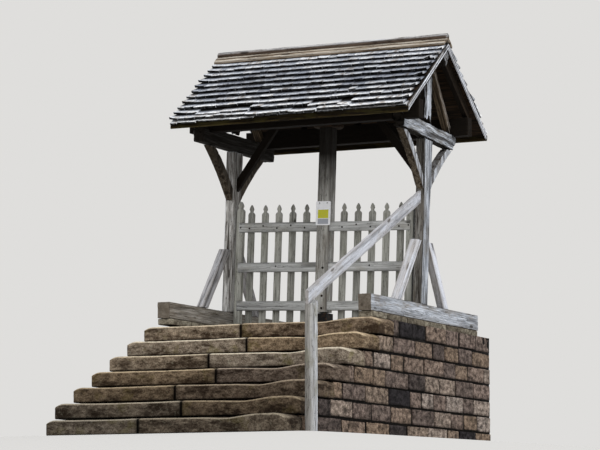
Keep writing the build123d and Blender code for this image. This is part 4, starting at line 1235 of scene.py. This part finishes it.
def boards_in_painted_shade(name):
    """Oak boarding, sawn and left rough, with its grain along the row, its brown painted nearly black as the
    shade under the roof.
    """
    material, tree, shader = surface(name, 0.88)
    place = add(tree, "TexCoord", out="Object")
    scaled = add(tree, "Mapping", {"Vector": place, "Scale": (1 / BOARD_RUN, 1 / FIBRE, 1 / FIBRE)})
    fibres = add(tree, "TexNoise", {"Vector": scaled, "Scale": 1.0, "Detail": 4})
    colour = add(tree, "ValToRGB", {0: fibres},
                 stops=[(0.40, "#0d0a08"), (0.48, "#1f1812"), (0.60, "#3a2c1f")])
    tree.links.new(colour, shader.inputs["Base Color"])
    bump = add(tree, "Bump", {"Height": fibres, "Distance": BOARD_BUMP, "Strength": 0.7})
    tree.links.new(bump, shader.inputs["Normal"])
    return material


# %% [markdown]
# The pivot block is cast iron under old black paint, the peg ends are oak cut across the grain, and the
# screws and the bolt are steel. Each could have a recipe of its own. From here they all read alike, as a dull
# coat with a sandy skin and brown patches, so one recipe takes the colour of each.

# %% A dull coat for fittings
SKIN, SKIN_DEPTH = 5 * MM, 0.8 * MM    # a sandy skin is under 1 mm in the real thing, drawn 5 mm to show
RUST_PATCH = 50 * MM
RUST = "#3d2c20"


def dull_fitting(name, colour):
    """A small fitting whose coat has gone dull, with a sandy skin and brown patches."""
    material, tree, shader = surface(name, 0.6)
    place = add(tree, "TexCoord", out="Object")
    skin = add(tree, "TexNoise", {"Vector": place, "Scale": 1 / SKIN, "Detail": 3})
    rust = add(tree, "TexNoise", {"Vector": place, "Scale": 1 / RUST_PATCH, "Detail": 5})
    tint = add(tree, "ValToRGB", {0: rust}, stops=[(0.50, colour), (0.66, RUST)])
    tree.links.new(tint, shader.inputs["Base Color"])
    bump = add(tree, "Bump", {"Height": skin, "Distance": SKIN_DEPTH, "Strength": 0.5})
    tree.links.new(bump, shader.inputs["Normal"])
    return material


# Cast iron, painted black once: the paint hides the metal, so only a dull gloss is left.
IRON = dull_fitting("painted_cast_iron", "#1c1c1d")
# Cleft oak pegs, cut across: end grain soaks up rain and goes nearly black.
PEG_OAK = dull_fitting("cleft_oak_peg_ends", "#1b1815")
# Steel screws of the plate, rusted and blackened: small dark dots.
SCREW = dull_fitting("blackened_steel_screws", "#1b1815")
# Zinc-plated steel: the plating has turned to a matt grey crust.
BOLT = dull_fitting("zinc_plated_steel_bolt", "#a9adb2")
# Sawn boards that never see rain: dark brown, painted nearly black as the shade under the roof.
BOARDING = boards_in_painted_shade("sawn_oak_boarding_in_painted_shade")

# %% Finishes for the kept solids
for kept, finish in (("front_roof_boards", BOARDING), ("back_roof_boards", BOARDING),
                     ("platform_core", MORTAR), ("pivot_block", IRON), ("gate_collar", BOARDING)):
    repaint(kept, finish)
    print(kept, "in", finish.name)

# %% [markdown]
# Small fittings are too fine for the frame: the pegs of the joints, the bolts and the enamelled plate. They
# could be set by world coordinates, but the gate leans. So each is placed from the pivot and along the axis
# of the gate, which the record gives, and leans with it. A peg end is a turned profile with fourteen sides,
# let into the wood so that no gap shows.

# %% Places on the leaning gate
GATE = frame["joints"][0]
PIVOT, AXIS = np.array(GATE["pos_m"]), np.array(GATE["axis"])
ACROSS = np.array([AXIS[2], 0.0, -AXIS[0]])
FRONT = (0, -1, 0)


def at(across, y, up):
    """A point given across, through and up the leaning gate."""
    return PIVOT + ACROSS * across + np.array([0.0, y, 0.0]) + AXIS * up


print("the gate leans", round(math.degrees(math.acos(AXIS[2])), 2), "degrees")

# %% Domed heads
PEG_SIDES = 14
PEG_PROFILE = [(1.0, 0.0), (0.96, 0.55), (0.70, 0.88), (0.0, 1.0)]    # radius and height of a domed end
LET_IN = 6 * MM


def domed(pile, place, out, radius, proud):
    """Adds one domed peg or bolt head that stands out of a face."""
    out = np.array(out, float)
    side = np.cross(out, [0.0, 0.0, 1.0])
    side = side / np.linalg.norm(side)
    rise = np.cross(side, out)
    turns = np.arange(PEG_SIDES) * math.tau / PEG_SIDES
    rings = [(1.0, -LET_IN / proud)] + PEG_PROFILE[:-1]
    points = [place + radius * r * (math.cos(t) * side + math.sin(t) * rise) + out * proud * h
              for r, h in rings for t in turns]
    points.append(place + out * proud)
    faces, counts = [], []
    for ring in range(len(rings) - 1):
        for k in range(PEG_SIDES):
            a, b = ring * PEG_SIDES + k, ring * PEG_SIDES + (k + 1) % PEG_SIDES
            faces += [a, a + PEG_SIDES, b + PEG_SIDES, b]
            counts.append(4)
    last = (len(rings) - 1) * PEG_SIDES
    for k in range(PEG_SIDES):
        faces += [last + k, last + PEG_SIDES, last + (k + 1) % PEG_SIDES]
        counts.append(3)
    pile.add(np.array(points), faces, counts)


def fittings(name, body, material, places):
    """One piece from domed heads: each has its place, the way it points, its radius and how far it stands."""
    pile = Pile()
    for place, out, radius, proud in places:
        domed(pile, place, out, radius * MM, proud * MM)
    return pile.piece(name, material, body)


# %% Pegs of the gate
TOP_RAIL, MIDDLE_RAIL = 1.336, 0.831               # levels of the rails' middles
RAIL_FACE, POST_FACE = -71 * MM, -83 * MM          # how far their fronts are from the axis
PALE_PLACES = (0.257, 0.449, 0.641, 0.833, 1.025)  # from the axis
STILE_PLACE = 1.150
POST_PEG_PLACE, POST_PEG_LEVELS = 0.012, (0.817, 0.468, 0.313)
STAGGER = (-0.012, 0.018)                          # pegs take turns below and above the top rail's middle
MIDDLE_RISE = 0.012                                # and this one stands above the middle rail's
PALE_PEG, MIDDLE_PEG, STILE_PEG, POST_PEG = (12, 4), (11, 4), (11, 4), (16, 5)    # radius, proud, in mm

gate_pegs = [(at(side * x, RAIL_FACE, TOP_RAIL + STAGGER[k % 2]), FRONT, *PALE_PEG)
             for side in (-1, 1) for k, x in enumerate(PALE_PLACES)]
gate_pegs += [(at(side * PALE_PLACES[2], RAIL_FACE, MIDDLE_RAIL + MIDDLE_RISE), FRONT, *MIDDLE_PEG)
              for side in (-1, 1)]
gate_pegs += [(at(side * STILE_PLACE, RAIL_FACE, TOP_RAIL), FRONT, *STILE_PEG) for side in (-1, 1)]
gate_pegs += [(at(POST_PEG_PLACE, POST_FACE, level), FRONT, *POST_PEG) for level in POST_PEG_LEVELS]
fittings("gate_pegs", "gate", PEG_OAK, gate_pegs)

# %% [markdown]
# The plate on the pivot post is pressed steel, enamelled white: glass fused to the metal, glossy and even,
# with the faint waves of orange peel. It is bare, with a yellow and a grey field on the white. The
# fields could be separate faces, but enamel lies flat, so they are drawn where the plate's own coordinates
# say, and dust dulls them a little.

# %% The plate's enamel
PLATE = (200 * MM, 300 * MM)
PLATE_THICK, PLATE_CORNER = 3 * MM, 14 * MM
FIELD_HALF = 0.36                                  # of the plate's width
YELLOW_FIELD, GREY_FIELD = (-0.03, 0.18), (-0.34, 0.11)    # middle and half height, of the plate's height
DUST_PATCH = 40 * MM
PEEL = 0.4 * MM


def enamelled_plate(name):
    """A pressed steel plate, enamelled white, with a yellow and a grey field on it."""
    material, tree, shader = surface(name, 0.25, sheen=0.4)
    across = add(tree, "Attribute", out="Fac", attribute_name="across")
    up = add(tree, "Attribute", out="Fac", attribute_name="up")
    half_wide = add(tree, "Math", {0: across}, operation="ABSOLUTE")
    inside = add(tree, "Math", {0: half_wide, 1: FIELD_HALF}, operation="LESS_THAN")
    colour = add(tree, "RGB")
    colour.default_value = linear("#f6f7fb")
    for (middle, half), enamel in ((YELLOW_FIELD, "#c9c722"), (GREY_FIELD, "#a4a8b2")):
        field = add(tree, "Math", {0: up, 1: middle, 2: half}, operation="COMPARE")
        field = add(tree, "Math", {0: field, 1: inside}, operation="MULTIPLY")
        colour = add(tree, "Mix", {FACTOR: field, UNDER: colour, OVER: enamel}, MIXED, **COVER)
    place = add(tree, "TexCoord", out="Object")
    grime = add(tree, "TexNoise", {"Vector": place, "Scale": 1 / DUST_PATCH, "Detail": 5})
    dust = add(tree, "MapRange", {0: grime, 1: 0.55, 2: 0.75, 3: 0.0, 4: 0.35})
    colour = add(tree, "Mix", {FACTOR: dust, UNDER: colour, OVER: "#8d8f86"}, MIXED, **COVER)
    tree.links.new(colour, shader.inputs["Base Color"])
    orange_peel = add(tree, "Bump", {"Height": grime, "Distance": PEEL, "Strength": 0.3})
    tree.links.new(orange_peel, shader.inputs["Normal"])
    return material


# Fused glass on pressed steel: the one surface here with a clear gloss.
ENAMEL = enamelled_plate("enamelled_steel_plate")

# %% The plate and its bolts
PLATE_LEVEL = 1.50
PLATE_GRID = 6                                     # points round a corner
PLATE_BOLT_PLACE, PLATE_BOLT_RISE = 0.052, 0.128   # from the plate's middle
PLATE_BOLT, BLOCK_BOLT = (7, 3), (9, 4)
BLOCK_BOLT_PLACE, BLOCK_BOLT_LEVEL = 0.03, 1.53


def plate_outline():
    """The plate's edge, a rectangle with round corners, and half its size."""
    half = np.array(PLATE) / 2
    turns = np.linspace(0, math.pi / 2, PLATE_GRID)
    outline = []
    for quarter, (sx, sz) in enumerate(((1, 1), (-1, 1), (-1, -1), (1, -1))):
        for turn in turns + quarter * math.pi / 2:
            outline.append((sx * (half[0] - PLATE_CORNER) + PLATE_CORNER * math.cos(turn),
                            sz * (half[1] - PLATE_CORNER) + PLATE_CORNER * math.sin(turn)))
    return np.array(outline), half


def make_plate():
    """The plate: a rounded sheet with a softened edge."""
    outline, half = plate_outline()
    n = len(outline)
    rings = [(outline, 0.0), (outline, 0.7 * PLATE_THICK), (outline * (1 - 1 * MM / half[0]), PLATE_THICK)]
    points = [at(x, POST_FACE - out, PLATE_LEVEL + z) for ring, out in rings for x, z in ring]
    flat = np.concatenate([ring for ring, out in rings])
    faces, counts = [], []
    for ring in range(2):
        for k in range(n):
            a, b = ring * n + k, ring * n + (k + 1) % n
            faces += [a, a + n, b + n, b]
            counts.append(4)
    faces += list(range(n)) + list(range(3 * n - 1, 2 * n - 1, -1))
    counts += [n, n]
    pile = Pile()
    pile.add(np.array(points), faces, counts, across=flat[:, 0] / PLATE[0], up=flat[:, 1] / PLATE[1])
    piece = pile.piece("gate_plate", ENAMEL, "gate")
    piece.data.polygons.foreach_set("use_smooth", np.zeros(len(piece.data.polygons), bool))


make_plate()
plate_bolts = [(at(side * PLATE_BOLT_PLACE, POST_FACE - PLATE_THICK, PLATE_LEVEL + PLATE_BOLT_RISE),
                FRONT, *PLATE_BOLT) for side in (-1, 1)]
fittings("gate_plate_bolts", "gate", SCREW, plate_bolts)
block_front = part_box("pivot_block")[0].y
block_bolt = (np.array([BLOCK_BOLT_PLACE, block_front + 1 * MM, BLOCK_BOLT_LEVEL]), FRONT, *BLOCK_BOLT)
fittings("pivot_block_bolt", "frame", BOLT, [block_bolt])

# %% [markdown]
# The floor is matt and pale, so that it takes a soft shadow and nothing else. A flat plane would do from
# above. Here it is level under the object and then falls away very gently on all sides, because the
# photograph was taken from lower down, and a dead level floor would hide the steps from there.

# %% Floor
FLOOR_FALL, FALL_EASE = 0.075, 0.3    # the slope far out, and how far from the object it takes to set in
FLOOR_MARGIN, FLOOR_DROP = 0.05, 0.5 * MM
RINGS = [0, 0.1, 0.25, 0.5, 1, 2, 4, 8, 16, 32, 64, 130, 260]
CORNER_POINTS = 9


def floor_material():
    """Matt pale paint on the floor, rolled on, with no gloss at all."""
    material, tree, shader = surface("rolled_matt_floor_paint", 1.0, sheen=0.0)
    shader.inputs["Base Color"].default_value = linear("#c3c2c0")
    return material


def make_floor():
    """Rounded rings round the object's footprint, each a little lower than the last."""
    low, high = frame_low, frame_high
    half = Vector(((high.x - low.x) / 2 + FLOOR_MARGIN, (high.y - low.y) / 2 + FLOOR_MARGIN))
    centre = (low + high) / 2
    turns = [math.pi / 2 * (q + k / (CORNER_POINTS - 1)) for q in range(4) for k in range(CORNER_POINTS)]
    signs = [(1, 1), (-1, 1), (-1, -1), (1, -1)]
    verts = []
    for reach in RINGS:
        fall = -FLOOR_FALL * reach * reach / (reach + FALL_EASE)
        for k, turn in enumerate(turns):
            sx, sy = signs[k // CORNER_POINTS]
            verts.append((centre.x + sx * half.x + reach * math.cos(turn),
                          centre.y + sy * half.y + reach * math.sin(turn), fall - FLOOR_DROP))
    n = len(turns)
    faces = [tuple(range(n))]
    for ring in range(len(RINGS) - 1):
        for k in range(n):
            a, b = ring * n + k, ring * n + (k + 1) % n
            faces.append((a, a + n, b + n, b))
    mesh = bpy.data.meshes.new("studio_floor")
    mesh.from_pydata(verts, [], faces)
    mesh.polygons.foreach_set("use_smooth", np.ones(len(mesh.polygons), bool))
    floor = bpy.data.objects.new("studio_floor", mesh)
    bpy.context.scene.collection.objects.link(floor)
    mesh.materials.append(floor_material())
    print("floor falls by", round(-fall, 1), "m at its rim")


make_floor()

# %% [markdown]
# The photograph has the even light of a cloudy sky. Area lamps would light the floor in pools, and an image
# of a sky isn't needed for so plain a light. So the light is a surround that is brighter overhead than at
# the sides, and one broad soft sun high on the right, the side that is brighter in the photograph.

# %% The surround
AMBIENT_SIDE, AMBIENT_TOP = 0.78, 1.05
TOP_FROM = 0.8                        # height on the surround where it is brightest
BACKDROP = "#dfdedc"


def make_world():
    """Soft light from all round; the camera sees a plain pale backdrop."""
    world = bpy.data.worlds.new("studio")
    world.use_nodes = True
    tree = world.node_tree
    back = tree.nodes["Background"]
    back.inputs["Color"].default_value = linear("#ffffff")
    height = add(tree, "SeparateXYZ", {0: add(tree, "TexCoord", out="Generated")}, out="Z")
    level = add(tree, "MapRange", {0: height, 1: 0.0, 2: TOP_FROM, 3: AMBIENT_SIDE, 4: AMBIENT_TOP})
    tree.links.new(level, back.inputs["Strength"])
    seen = add(tree, "Background", {"Color": BACKDROP, "Strength": 1.0})
    from_camera = add(tree, "LightPath", out="Is Camera Ray")
    choice = add(tree, "MixShader", {0: from_camera, 1: back.outputs[0], 2: seen})
    tree.links.new(choice, tree.nodes["World Output"].inputs["Surface"])
    bpy.context.scene.world = world
    print("surround from", AMBIENT_SIDE, "at the sides to", AMBIENT_TOP, "overhead")


make_world()

# %% The lamp
KEY_FROM = (0.72, -0.30, 0.78)
KEY_PLACE = (8, -4, 9)                # only where it is drawn: a sun lights from its direction alone
KEY_STRENGTH = 1.5
KEY_SOFTNESS = math.radians(24)


def make_key():
    """One far soft lamp, so that the floor is lit evenly."""
    lamp = bpy.data.lights.new("key_lamp", "SUN")
    lamp.energy = KEY_STRENGTH
    lamp.angle = KEY_SOFTNESS
    thing = bpy.data.objects.new("key_lamp", lamp)
    thing.rotation_euler = Vector(KEY_FROM).to_track_quat("Z", "Y").to_euler()
    thing.location = KEY_PLACE
    bpy.context.scene.collection.objects.link(thing)
    print("key lamp, strength", KEY_STRENGTH)


make_key()

# %% [markdown]
# The camera stands where the photograph was taken: 33 m off, to the right, and looking slightly up. It could
# be set by eye. These numbers come from a fit of the frame's corners to the same corners in the photograph.

# %% Camera
CAMERA_PLACE = (13.788, -30.171, -1.188)
LOOK_UP = math.radians(6.80)
LOOK_LEFT = math.radians(25.04)
SENSOR, FOCAL = 36, 160.35            # millimetres
SEES_TO = 600                         # metres, beyond the rim of the floor

camera = bpy.data.cameras.new("photo_camera")
camera.sensor_width = SENSOR
camera.lens = FOCAL
camera.clip_end = SEES_TO
viewer = bpy.data.objects.new("photo_camera", camera)
viewer.location = CAMERA_PLACE
viewer.rotation_euler = (math.pi / 2 + LOOK_UP, 0, LOOK_LEFT)
bpy.context.scene.collection.objects.link(viewer)
bpy.context.scene.camera = viewer
bpy.context.scene.view_settings.view_transform = "Standard"
print("camera", FOCAL, "mm at", CAMERA_PLACE)
